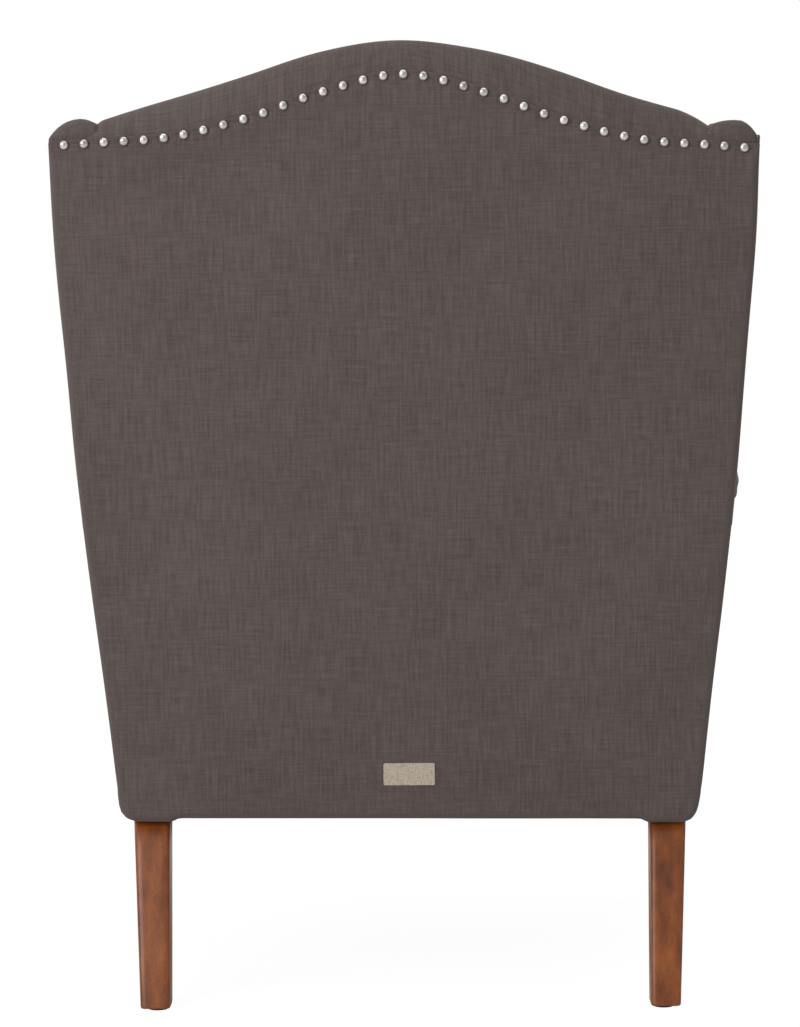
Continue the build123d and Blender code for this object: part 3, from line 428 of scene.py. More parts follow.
def ripple(seed, *axes):
    """A gentle unevenness between -1 and 1: five sine waves with directions and phases from a seed."""
    rng = np.random.default_rng(seed)
    waves, total = 5, 0
    for _ in range(waves):
        phase = rng.uniform(0, 2 * math.pi)
        along = sum(axis * rng.uniform(12, 45) * rng.choice([-1, 1]) for axis in axes)
        total = total + np.sin(along + phase)
    return total / waves


def piece(name, patches, slot, nodes, body="chair"):
    """Skins a finished piece in its slot's material, parents it to the empty of the body it rides on
    and hides the frame's nodes that it stands for."""
    obj = skin(name, patches, looks()[slot])
    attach(obj, body)
    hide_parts(*nodes)
    return obj


# Materials


# A Mix node's colour sockets share their names with its number sockets, so they go by number
MIX_FIRST, MIX_SECOND, MIX_RESULT = 6, 7, 2


def linear(hex_colour):
    """sRGB hex to linear RGBA."""
    values = [int(hex_colour[i:i + 2], 16) / 255 for i in (0, 2, 4)]
    return tuple(v / 12.92 if v <= 0.04045 else ((v + 0.055) / 1.055) ** 2.4 for v in values) + (1.0,)


def add(tree, kind, inputs=None, **settings):
    """Adds a node with its settings; an input given a socket is linked to it."""
    new = tree.nodes.new(kind)
    for key, value in settings.items():
        setattr(new, key, value)
    for key, value in (inputs or {}).items():
        if isinstance(value, bpy.types.NodeSocket):
            tree.links.new(value, new.inputs[key])
        else:
            new.inputs[key].default_value = value
    return new


def material(name, **sockets):
    """A new material with a Principled shader; returns it, its tree and the shader."""
    made = bpy.data.materials.new(name)
    made.use_nodes = True
    tree = made.node_tree
    shader = tree.nodes["Principled BSDF"]
    for key, value in sockets.items():
        shader.inputs[key.replace("_", " ")].default_value = value
    return made, tree, shader


def streaks(tree, coordinates, size, detail=2.0, rough=0.5):
    """Noise whose grains measure size in metres along each axis."""
    scale = tuple(1 / value for value in size) + ((1.0,) if len(size) == 2 else ())
    mapping = add(tree, "ShaderNodeMapping", {"Vector": coordinates, "Scale": scale})
    return add(tree, "ShaderNodeTexNoise", {
        "Vector": mapping.outputs["Vector"], "Scale": 1.0, "Detail": detail, "Roughness": rough,
    }).outputs["Fac"]


def blend(tree, parts):
    """Adds up sockets, each times its weight."""
    total = None
    for socket, weight in parts:
        scaled = add(tree, "ShaderNodeMath", {0: socket, 1: weight}, operation="MULTIPLY").outputs[0]
        if total is None:
            total = scaled
        else:
            total = add(tree, "ShaderNodeMath", {0: total, 1: scaled}, operation="ADD").outputs[0]
    return total


def tinted(tree, shader, factor, dark, light, low=0.35, high=0.65):
    """Colours the shader between two hex colours as a factor goes from low to high."""
    spread = add(tree, "ShaderNodeMapRange", {"Value": factor, "From Min": low, "From Max": high})
    mix = add(tree, "ShaderNodeMix", {
        "Factor": spread.outputs["Result"], MIX_FIRST: linear(dark), MIX_SECOND: linear(light),
    }, data_type="RGBA")
    tree.links.new(mix.outputs[MIX_RESULT], shader.inputs["Base Color"])


def raised(tree, shader, height, depth, strength):
    """Bump of a given depth in metres, at a share of its full strength."""
    bump = add(tree, "ShaderNodeBump", {"Height": height, "Distance": depth, "Strength": strength})
    tree.links.new(bump.outputs["Normal"], shader.inputs["Normal"])


def linen(name, dark, light):
    """Linen-look polyester weave, plain woven from uneven yarn: thick slubs run a few centimetres
    along warp and weft and show as paler and darker dashes. Matt, with a faint fuzz at the edges.
    Yarns are 0.7 mm apart and are drawn at 1.3 mm so that they show."""
    made, tree, shader = material(
        name, Roughness=0.9, Sheen_Weight=0.22, Sheen_Roughness=0.45, Specular_IOR_Level=0.25,
    )
    shader.inputs["Sheen Tint"].default_value = linear("cfc8bd")
    cloth = add(tree, "ShaderNodeUVMap", uv_map="cloth").outputs["UV"]
    warp = streaks(tree, cloth, (0.0024, 0.046), 3.0, 0.6)
    weft = streaks(tree, cloth, (0.040, 0.0022), 3.0, 0.6)
    warp_yarn = streaks(tree, cloth, (0.0013, 0.009))
    weft_yarn = streaks(tree, cloth, (0.009, 0.0013))
    cloud = streaks(tree, cloth, (0.16, 0.16))
    weave = blend(tree, [(warp, 0.36), (weft, 0.30), (warp_yarn, 0.12), (weft_yarn, 0.12), (cloud, 0.10)])
    tinted(tree, shader, weave, dark, light, 0.36, 0.64)
    yarns = blend(tree, [(warp, 0.2), (weft, 0.2), (warp_yarn, 0.3), (weft_yarn, 0.3)])
    raised(tree, shader, yarns, 0.0006, 0.7)
    return made


def stained_wood(name, dark, middle, light):
    """Stained and lacquered hardwood: pores and broad darker bands run up the piece, and a thin coat
    of lacquer over them gives a soft gloss. Pores are 0.2 mm wide and are drawn at 1.6 mm so that
    they show; bands are 14 mm wide and 260 mm long."""
    made, tree, shader = material(name, Roughness=0.44, Coat_Weight=0.22, Coat_Roughness=0.25)
    place = add(tree, "ShaderNodeTexCoord").outputs["Object"]
    pores = streaks(tree, place, (0.0016, 0.0016, 0.045), 3.0, 0.6)
    bands = streaks(tree, place, (0.014, 0.014, 0.26), 4.0, 0.55)
    cloud = streaks(tree, place, (0.05, 0.05, 0.08), 2.0)
    grain = blend(tree, [(pores, 0.22), (bands, 0.5), (cloud, 0.28)])
    ramp = add(tree, "ShaderNodeValToRGB", {"Fac": grain})
    first, last = ramp.color_ramp.elements
    first.position, first.color = 0.34, linear(dark)
    last.position, last.color = 0.66, linear(light)
    ramp.color_ramp.elements.new(0.5).color = linear(middle)
    tree.links.new(ramp.outputs["Color"], shader.inputs["Base Color"])
    raised(tree, shader, pores, 0.0002, 0.5)
    return made


def metal(name, dark, light, rough):
    """Plated, drawn or cast metal: bright, with clouds of tarnish 12 mm across and handling marks of
    4 mm that are 0.8 mm high."""
    made, tree, shader = material(name, Metallic=1.0, Roughness=rough)
    place = add(tree, "ShaderNodeTexCoord").outputs["Object"]
    cloud = streaks(tree, place, (0.012, 0.012, 0.012), 3.0)
    marks = streaks(tree, place, (0.004, 0.004, 0.0008), 2.0)
    tinted(tree, shader, blend(tree, [(cloud, 0.7), (marks, 0.3)]), dark, light)
    return made


def plain_cloth(name, dark, light, yarn, object_space=False):
    """Plain woven cloth: crossed yarns of one width, each seen for eight widths, matt. A CAD solid
    has no cloth coordinates, so its weave lies in object space."""
    made, tree, shader = material(name, Roughness=0.95, Specular_IOR_Level=0.2)
    if object_space:
        place = add(tree, "ShaderNodeTexCoord").outputs["Object"]
        warp = streaks(tree, place, (yarn, yarn * 8, yarn * 8))
        weft = streaks(tree, place, (yarn * 8, yarn, yarn))
    else:
        place = add(tree, "ShaderNodeUVMap", uv_map="cloth").outputs["UV"]
        warp = streaks(tree, place, (yarn, yarn * 8))
        weft = streaks(tree, place, (yarn * 8, yarn))
    weave = blend(tree, [(warp, 0.5), (weft, 0.5)])
    tinted(tree, shader, weave, dark, light)
    raised(tree, shader, weave, yarn * 0.3, 0.8)
    return made


def plastic(name, dark, light, rough):
    """Moulded or foamed plastic: even, with a faint grain of 1.5 mm from the mould or the cells."""
    made, tree, shader = material(name, Roughness=rough)
    place = add(tree, "ShaderNodeTexCoord").outputs["Object"]
    grain = streaks(tree, place, (0.0015, 0.0015, 0.0015), 2.0)
    tinted(tree, shader, grain, dark, light)
    raised(tree, shader, grain, 0.0001, 0.4)
    return made


LOOKS = {}


def looks():
    """The chair's materials by the record's slots, made once."""
    if not LOOKS:
        # Linen-look polyester, woven from uneven yarn: dull charcoal with a brown cast, slubby
        LOOKS["cover_linen"] = linen("charcoal linen weave", "483f3d", "675c59")
        # Hardwood, stained and lacquered: red-brown, banded, with a soft gloss
        LOOKS["leg_wood"] = stained_wood("stained leg wood", "5c2a08", "7e3f0e", "9a561d")
        # Beech, planed and sealed: pale straw, banded
        LOOKS["frame_wood"] = stained_wood("raw beech frame", "b08a5c", "c8a273", "dcbc90")
        # Steel, pressed and nickel plated: warm white, mirrors the lamps softly
        LOOKS["nickel"] = metal("nickel plated nail", "b4b0aa", "ece8e2", 0.34)
        # Steel, zinc plated: cool pale grey
        LOOKS["zinc_steel"] = metal("zinc plated steel", "8f9194", "c2c4c6", 0.34)
        # Spring steel, drawn and blued: dark grey
        LOOKS["spring_steel"] = metal("drawn spring steel", "3c3d40", "6d6e72", 0.38)
        # Jute, spun coarse and plain woven with yarns of 1.6 mm: straw brown, rough
        LOOKS["jute"] = plain_cloth(
            "jute webbing and hessian", "7d6238", "b3945f", 0.0016, object_space=True,
        )
        # Cotton lining, plain woven: dark, matt. Yarns of 0.5 mm are drawn at 1.2 mm so that they show
        LOOKS["deck_cloth"] = plain_cloth("deck lining cloth", "3c3634", "5a5250", 0.0012)
        # Cambric, spun-bonded: flat black. Fibres of 0.1 mm are drawn at 1 mm so that they show
        LOOKS["black_cambric"] = plain_cloth("black cambric", "0c0c0c", "1e1d1d", 0.0010)
        # Flax twine, twisted and waxed: pale and dull, with plies of 1 mm
        LOOKS["twine"] = plain_cloth("waxed linen twine", "a89b7c", "cdc3a8", 0.0010, object_space=True)
        # Polyester tape, woven: beige and matt. Yarns of 0.3 mm are drawn at 0.9 mm so that they show
        LOOKS["label_cloth"] = plain_cloth("woven label cloth", "9a8c7c", "cabfae", 0.0009)
        # Polypropylene, moulded: near black with a dull shine
        LOOKS["glide_plastic"] = plastic("moulded glide plastic", "1f1d1b", "34312e", 0.45)
        # Acetal, moulded: dark brown to match the cloth
        LOOKS["zip_plastic"] = plastic("moulded zip teeth", "332e2c", "4c4543", 0.5)
        # Zinc alloy, die-cast: dim bronze-grey
        LOOKS["zip_metal"] = metal("zinc alloy zip slider", "6e6a60", "a5a094", 0.3)
        # Polyurethane foam, cut from a block: pale yellow and chalky
        LOOKS["cushion_foam"] = plastic("cushion foam", "cfc49f", "e6dcb8", 0.9)
    return LOOKS


# Stage


def aim(location, target):
    """Rotation that points a lamp's -Z at a target."""
    away = np.array(location) - np.array(target)
    away = away / np.linalg.norm(away)
    right = np.cross((0, 0, 1), away)
    right /= np.linalg.norm(right)
    up = np.cross(away, right)
    return Matrix(np.stack([right, up, away], 1).tolist()).to_4x4()


def lamp(name, location, target, size, power):
    """A soft rectangular lamp that faces its target."""
    data = bpy.data.lights.new(name, "AREA")
    data.shape = "RECTANGLE"
    data.size, data.size_y = size
    data.energy = power
    obj = bpy.data.objects.new(name, data)
    obj.matrix_world = Matrix.Translation(location) @ aim(location, target)
    bpy.context.scene.collection.objects.link(obj)


class WingChairSizes(bpy.types.PropertyGroup):
    """Sizes of the chair's soft surfaces and of the view."""

    rim_round: bpy.props.FloatProperty(
        name="Back Edge", description="Rounding of the outside back's padded edges",
        default=0.008, min=0.002, max=0.02, unit="LENGTH", subtype="DISTANCE",
    )
    nail_puff: bpy.props.FloatProperty(
        name="Nail Puff", description="How far the cloth stands up between neighbouring nails",
        default=0.0014, min=0.0, max=0.004, unit="LENGTH", subtype="DISTANCE",
    )
    tuft_height: bpy.props.FloatProperty(
        name="Tuft Height", description="Height of the pillows between the buttons' pleats",
        default=0.020, min=0.0, max=0.04, unit="LENGTH", subtype="DISTANCE",
    )
    wing_round: bpy.props.FloatProperty(
        name="Wing Rounding", description="How far in the rounding of a wing's free edge starts",
        default=0.019, min=0.005, max=0.028, unit="LENGTH", subtype="DISTANCE",
    )
    cushion_crown: bpy.props.FloatProperty(
        name="Cushion Crown", description="Rise of the cushion's top over its seams",
        default=0.018, min=0.0, max=0.03, unit="LENGTH", subtype="DISTANCE",
    )
    cushion_pressure: bpy.props.FloatProperty(
        name="Cushion Pressure", description="Pressure that fills the cushion in the cloth simulation",
        default=4.0, min=0.0, max=20.0,
    )
    view_distance: bpy.props.FloatProperty(
        name="View Distance", description="Depth of the camera behind the chair's middle",
        default=3.78, min=1.0, max=20.0, unit="LENGTH", subtype="DISTANCE",
    )
    view_height: bpy.props.FloatProperty(
        name="View Height", description="Height of the camera above the floor",
        default=0.75, min=0.1, max=3.0, unit="LENGTH", subtype="DISTANCE",
    )


class WingChairColours(bpy.types.PropertyGroup):
    """Colours of the studio."""

    floor: bpy.props.FloatVectorProperty(
        name="Floor", description="Colour of the studio floor", subtype="COLOR",
        size=4, min=0.0, max=1.0, default=linear("f4f4f4"),
    )
    backdrop: bpy.props.FloatVectorProperty(
        name="Backdrop", description="Colour that the camera sees behind the chair", subtype="COLOR",
        size=4, min=0.0, max=1.0, default=(1.0, 1.0, 1.0, 1.0),
    )


def sizes():
    """The sizes that a user would change."""
    return bpy.context.scene.wing_chair_sizes


class StageOperator(bpy.types.Operator):
    """Sets up the camera, the lamps, the white backdrop and the pale floor"""

    bl_idname = "wing_chair.stage"
    bl_label = "Stage"

    def execute(self, context):
        scene = context.scene
        scene.view_settings.view_transform = "Standard"
        self.add_camera(scene)
        self.add_world(scene)
        self.add_floor(scene)
        lamp("key from the left", (2.35, 2.75, 2.05), (0, 0.3, 0.6), (2.2, 2.2), 71)
        lamp("fill from the right", (-3.2, 2.6, 1.4), (0, 0.2, 0.6), (2.4, 2.4), 4)
        lamp("front key", (-1.9, -3.6, 2.4), (0, -0.1, 0.6), (2.4, 2.4), 78)
        lamp("front fill", (3.2, -2.2, 1.6), (0, -0.1, 0.6), (2.4, 2.4), 24)
        lamp("overhead", (0, 0.1, 3.4), (0, 0, 0.5), (3.0, 3.0), 34)
        return {"FINISHED"}

    def add_camera(self, scene):
        """Stands behind the chair and looks along -Y: pitched down about its right, rolled about its
        line of sight, then turned about the world's up."""
        yaw, pitch, roll = 0.0110, 0.0550, -0.0080
        focal_px, photo_px, sensor_mm, offset_x = 3039.6, 800, 36.0, -0.0300
        forward, right, up = np.array([0, -1, 0]), np.array([-1, 0, 0]), np.array([0, 0, 1])
        looking = math.cos(pitch) * forward - math.sin(pitch) * up
        over = math.sin(pitch) * forward + math.cos(pitch) * up
        across = math.cos(roll) * right + math.sin(roll) * over
        over = -math.sin(roll) * right + math.cos(roll) * over
        turn = np.array([[math.cos(yaw), -math.sin(yaw), 0], [math.sin(yaw), math.cos(yaw), 0], [0, 0, 1]])
        axes = turn @ np.stack([across, over, -looking], 1)
        data = bpy.data.cameras.new("photo view")
        data.sensor_fit = "HORIZONTAL"
        data.sensor_width = sensor_mm
        data.lens = focal_px / photo_px * sensor_mm
        data.clip_end = 60
        camera = bpy.data.objects.new("photo view", data)
        place = Matrix.Translation((offset_x, sizes().view_distance, sizes().view_height))
        camera.matrix_world = place @ Matrix(axes.tolist()).to_4x4()
        scene.collection.objects.link(camera)
        scene.camera = camera

    def add_world(self, scene):
        """White to the camera and through glass, a plain soft grey as light."""
        world = bpy.data.worlds.new("studio")
        world.use_nodes = True
        tree = world.node_tree
        tree.nodes.clear()
        path = add(tree, "ShaderNodeLightPath")
        seen = add(tree, "ShaderNodeMath", {
            0: path.outputs["Is Camera Ray"], 1: path.outputs["Is Transmission Ray"],
        }, operation="MAXIMUM")
        white = add(tree, "ShaderNodeBackground", {"Color": context_colour("backdrop"), "Strength": 1.0})
        soft = add(tree, "ShaderNodeBackground", {"Color": (1.0, 1.0, 1.0, 1.0), "Strength": 0.42})
        mix = add(tree, "ShaderNodeMixShader", {
            0: seen.outputs[0], 1: soft.outputs[0], 2: white.outputs[0],
        })
        add(tree, "ShaderNodeOutputWorld", {"Surface": mix.outputs[0]})
        scene.world = world

    def add_floor(self, scene):
        """A pale floor that keeps the chair's shadow and runs on white into the backdrop: to the
        camera it glows the more, the further it is from the chair's middle."""
        half = 9.0
        corners = [(-half, -half, 0.0), (half, -half, 0.0), (half, half, 0.0), (-half, half, 0.0)]
        mesh = bpy.data.meshes.new("floor")
        mesh.from_pydata(corners, [], [(0, 1, 2, 3)])
        made = bpy.data.materials.new("pale studio floor")
        made.use_nodes = True
        tree = made.node_tree
        tree.nodes.clear()
        path = add(tree, "ShaderNodeLightPath")
        matt = add(tree, "ShaderNodeBsdfDiffuse", {"Color": context_colour("floor")})
        glow = add(tree, "ShaderNodeEmission", {"Color": context_colour("backdrop"), "Strength": 1.06})
        place = add(tree, "ShaderNodeNewGeometry").outputs["Position"]
        away = add(tree, "ShaderNodeVectorMath", {0: place}, operation="LENGTH").outputs["Value"]
        hide = add(tree, "ShaderNodeMapRange", {
            "Value": away, "From Min": 0.7, "From Max": 2.2, "To Min": 0.90,
        })
        share = add(tree, "ShaderNodeMath", {
            0: path.outputs["Is Camera Ray"], 1: hide.outputs["Result"],
        }, operation="MULTIPLY")
        mix = add(tree, "ShaderNodeMixShader", {
            0: share.outputs[0], 1: matt.outputs[0], 2: glow.outputs[0],
        })
        add(tree, "ShaderNodeOutputMaterial", {"Surface": mix.outputs[0]})
        mesh.materials.append(made)
        floor = bpy.data.objects.new("floor", mesh)
        scene.collection.objects.link(floor)


def context_colour(name):
    """One of the colours that a user would change, as a plain tuple."""
    return tuple(getattr(bpy.context.scene.wing_chair_colours, name))


class FrameOperator(bpy.types.Operator):
    """Gives every carried-over solid its material"""

    bl_idname = "wing_chair.frame"
    bl_label = "Frame and Fittings"

    def execute(self, context):
        for part in frame["record"]["subparts"]:
            node = frame["nodes"][part["node"]]
            look = looks()[part["material_slot"]]
            if not node.material_slots:
                node.data.materials.append(look)
            for place in node.material_slots:
                place.material = look
        return {"FINISHED"}


class LegsOperator(bpy.types.Operator):
    """Makes the swept rear legs and the turned front legs"""

    bl_idname = "wing_chair.legs"
    bl_label = "Legs"

    def execute(self, context):
        for side, sign in SIDES:
            self.rear_leg(side, sign)
            self.front_leg(side, sign)
        return {"FINISHED"}

    def rear_leg(self, side, sign):
        """A square leg whose middle and width run straight from foot to top. Its section is
        |x|^9 + |y|^9 = 1, a square with rounded corners, and its foot's edge is broken."""
        power = 9
        levels = np.array([0, 0.004, 0.012, 0.2, 0.4, 0.6, 0.8, 1.0])
        broken = np.array([0.0016, 0.0004, 0, 0, 0, 0, 0, 0])
        z = GLIDE_THICKNESS + (LEG_HEIGHT - GLIDE_THICKNESS) * levels
        width = np.interp(levels, (0, 1), (0.034, 0.042)) / 2 - broken
        depth = np.interp(levels, (0, 1), (0.038, 0.050)) / 2 - broken
        middle_x = np.interp(levels, (0, 1), (0.289, 0.299))
        middle_y = np.interp(levels, (0, 1), (0.361, 0.265))
        cos, sin = np.cos(circle(48)), np.sin(circle(48))
        swell = (np.abs(cos) ** power + np.abs(sin) ** power) ** (-1 / power)
        x = sign * (middle_x[:, None] + width[:, None] * swell * cos)
        y = middle_y[:, None] + depth[:, None] * swell * sin
        self.stand(f"rear_leg_{side}_swept", f"rear_leg_{side}", x, y, z[:, None])

    def front_leg(self, side, sign):
        """A turned leg: a smooth curve through the turner's radii, spun round the leg's middle."""
        profile = through([
            (0.0100, 0.003), (0.0112, 0.005), (0.0118, 0.012), (0.0112, 0.020), (0.0100, 0.026),
            (0.0112, 0.050), (0.0135, 0.095), (0.0150, 0.135), (0.0150, 0.150), (0.0137, 0.164),
            (0.0140, 0.168), (0.0172, 0.1725), (0.0178, 0.177), (0.0172, 0.1815), (0.0130, 0.184),
            (0.0126, 0.188), (0.0130, 0.192), (0.0184, 0.1955), (0.0190, 0.199), (0.0190, 0.214),
        ], 5)
        radius, z = profile[:, :1], profile[:, 1:]
        x = sign * FRONT_LEG_X + radius * np.cos(circle(40))
        y = FRONT_LEG_Y + radius * np.sin(circle(40))
        self.stand(f"front_leg_{side}_turned", f"front_leg_{side}", x, y, z)

    def stand(self, name, node, x, y, z):
        """Skins a leg from the grids of its points, unrolled as if it were a round leg."""
        unrolled_radius = 0.02
        rings = np.stack(np.broadcast_arrays(x, y, z), -1)
        uv = np.stack(np.broadcast_arrays(circle(x.shape[1])[None] * unrolled_radius, z), -1)
        piece(name, [(rings, uv, False)], "leg_wood", [node])


class OutsideBackOperator(bpy.types.Operator):
    """Makes the outside back panel, puffed between its nails and rounded at its edges"""

    bl_idname = "wing_chair.outside_back"
    bl_label = "Outside Back"

    def execute(self, context):
        """A flat plate on the raked plane whose edges turn in as a quarter circle, less at the nails."""
        loop = self.outline()
        top = self.top_share(loop)
        round_in = sizes().rim_round * (1 - top) + 0.0016 * top
        edge = BACK_EDGE * (1 - top) + 0.0040 * top
        inner = (
            0.05, 0.2, 0.35, 0.5, 0.62, 0.72, 0.80, 0.86,
            0.905, 0.935, 0.955, 0.968, 0.978, 0.985, 0.991, 0.996,
        )
        plane, depth, cloth = plate(loop, BACK_HEART, round_in, 1.0, 1.0, 0.0, inner)
        x, z = plane[..., 0], plane[..., 1]
        y = back_y(z) + self.puff(plane) - np.clip(depth, 0, 1) * edge
        rings = np.stack([x, y, z], -1)
        piece("outside_back_cover", [(rings, cloth, False)], "cover_linen", ["outside_back"])
        return {"FINISHED"}

    def outline(self):
        """Up the right edge, along the nail line, down the left and back over the rounded foot. The
        corners at the foot are rounded, the one at +X a little squarer."""
        z = np.linspace(0.262, 0.966, 40)
        right = np.stack([side_x(back_y(z), z), z], 1)
        left = right[::-1] * (-1, 1)
        top_x = np.linspace(1, -1, 220) * float(side_x(back_y(0.975), 0.975))
        top = np.stack([top_x, nail_line(top_x) + PANEL_ABOVE_NAILS - 0.0015], 1)
        between_legs, lowest, corner_top = 0.2072, 0.2032, 0.250
        corner = np.array([
            (0.3364, corner_top), (0.3350, 0.235), (0.3322, 0.2225), (0.3285, 0.2145), (0.3215, 0.2070),
            (0.3120, lowest), (0.2745, lowest), (0.2715, lowest + 0.0010),
            (0.2685, between_legs - 0.0010), (0.2650, between_legs),
        ])
        rounder, squarer = corner.copy(), corner.copy()
        rounder[:6, 0] += (0, 0, 0.0005, 0.0016, 0.0032, 0.0036)
        squarer[:6, 0] += (0.0002, 0.0012, 0.0028, 0.0042, 0.0050, 0.0036)
        foot = np.concatenate([rounder * (-1, 1), squarer[::-1]])
        drop = np.clip((corner_top - foot[:, 1]) / 0.020, 0, 1)
        foot[:, 1] += (0.6 * NAIL_TILT * foot[:, 0] - 0.0010) * drop
        return resampled(np.concatenate([right, top, left, foot]), NAILED_STEP, closed=True)

    def top_share(self, loop):
        """1 along the nailed top edge, falling to 0 over the last 18 mm of each side."""
        reach = 0.018
        return np.clip((loop[:, 1] - (nail_line(loop[:, 0]) - reach)) / reach, 0, 1)

    def puff(self, plane):
        """Cloth pressed flat under each nail and standing up between: a bell curve about the nail
        line, less a bell at each nail, a crease on the line and cosine pleats that fade below it,
        over a faint slack."""
        x, z = plane[..., 0], plane[..., 1]
        below = nail_line(x) - z
        band = np.exp(-((below / 0.016) ** 2))
        nails = near(plane, back_nail_places(), 0.0075)
        pleat = np.cos(2 * math.pi * x / NAIL_PITCH) * np.exp(-np.maximum(below, 0) / 0.030) * (below > 0)
        slack = 0.0012 * ripple(3, x, z)
        crease = 0.0012 * np.exp(-((below / 0.0035) ** 2))
        puffed = sizes().nail_puff * band * (1 - 1.6 * nails) - crease
        return puffed - 0.0004 * pleat + slack * np.clip(below / 0.08, 0, 1)


class CrestOperator(bpy.types.Operator):
    """Makes the padded roll over the camelback crest"""

    bl_idname = "wing_chair.crest"
    bl_label = "Crest Roll"

    def execute(self, context):
        """A section carried along x: from the peak it falls as a quarter superellipse to the nails
        behind and as another to the inside back in front, and closes underneath."""
        x = np.linspace(-0.352, 0.352, 260)
        reach = np.clip(x, -CREST_HALF, CREST_HALF)
        crest = crest_z(reach - CREST_LEAN) - self.slack(x)
        nail = nail_line(reach) + PANEL_ABOVE_NAILS - 0.004
        low = crest - CREST_FRONT_DROP - 0.004
        hollow = PAD_CROWN * (x / 0.32) ** 2
        peak = (back_y(crest) - CREST_TOP_INSET, crest)
        rear = self.fall(peak, (back_y(nail) - 0.001, nail), 22)
        front = self.fall(peak, (pad_front_y(low) + 0.010 + hollow, low), 26)
        under = np.stack([
            np.stack([pad_front_y(low) + 0.030 + hollow, low + 0.004], -1),
            np.stack([back_y(nail) - 0.012, nail - 0.004], -1),
        ], 1)
        section = np.concatenate([rear[:, ::-1], front[:, 1:], under], 1)
        y, z = section[..., 0], section[..., 1]
        columns = np.broadcast_to(x[:, None], y.shape)
        behind = np.exp(-((z - nail[:, None]) / 0.020) ** 2) * (y > peak[0][:, None])
        gather = np.cos(2 * math.pi * x[:, None] / NAIL_PITCH)
        y = y + 0.0007 * gather * behind + 0.0010 * ripple(5, columns, z)
        z = z + 0.0008 * ripple(9, columns, y)
        steps = np.hypot(np.diff(y, axis=1, prepend=y[:, :1]), np.diff(z, axis=1, prepend=z[:, :1]))
        uv = np.stack([columns, np.cumsum(steps, axis=1)], -1)
        uv = np.concatenate([uv, uv[:, -1:] + (0, 0.02)], 1)
        rings = np.stack([columns, y, z], -1)
        piece("crest_roll_cover", [(rings, uv, False)], "cover_linen", ["crest_roll"])
        return {"FINISHED"}

    def slack(self, x):
        """The hand-made crest: its padding sits a little lower on the flanks, in two dips that are
        bell curves, and falls away as t^2 at the wings."""
        right_dip = 0.004 * np.exp(-(((x - 0.18) / 0.07) ** 2))
        left_dip = 0.0022 * np.exp(-(((x + 0.26) / 0.08) ** 2))
        right_end = 0.013 * np.clip((x - 0.334) / 0.018, 0, 1) ** 2
        left_end = 0.011 * np.clip((-x - 0.300) / 0.045, 0, 1.15) ** 2
        return right_dip + left_dip + (right_end + left_end)

    def fall(self, top, end, count):
        """A quarter of a superellipse that leaves the top level and falls to the end."""
        turn = np.linspace(0, math.pi / 2, count)
        run = np.sin(turn) ** (2 / 2.25)
        drop = 1 - np.cos(turn) ** (2 / 1.75)
        y = top[0][:, None] + (end[0] - top[0])[:, None] * run
        z = top[1][:, None] + (end[1] - top[1])[:, None] * drop
        return np.stack([y, z], -1)


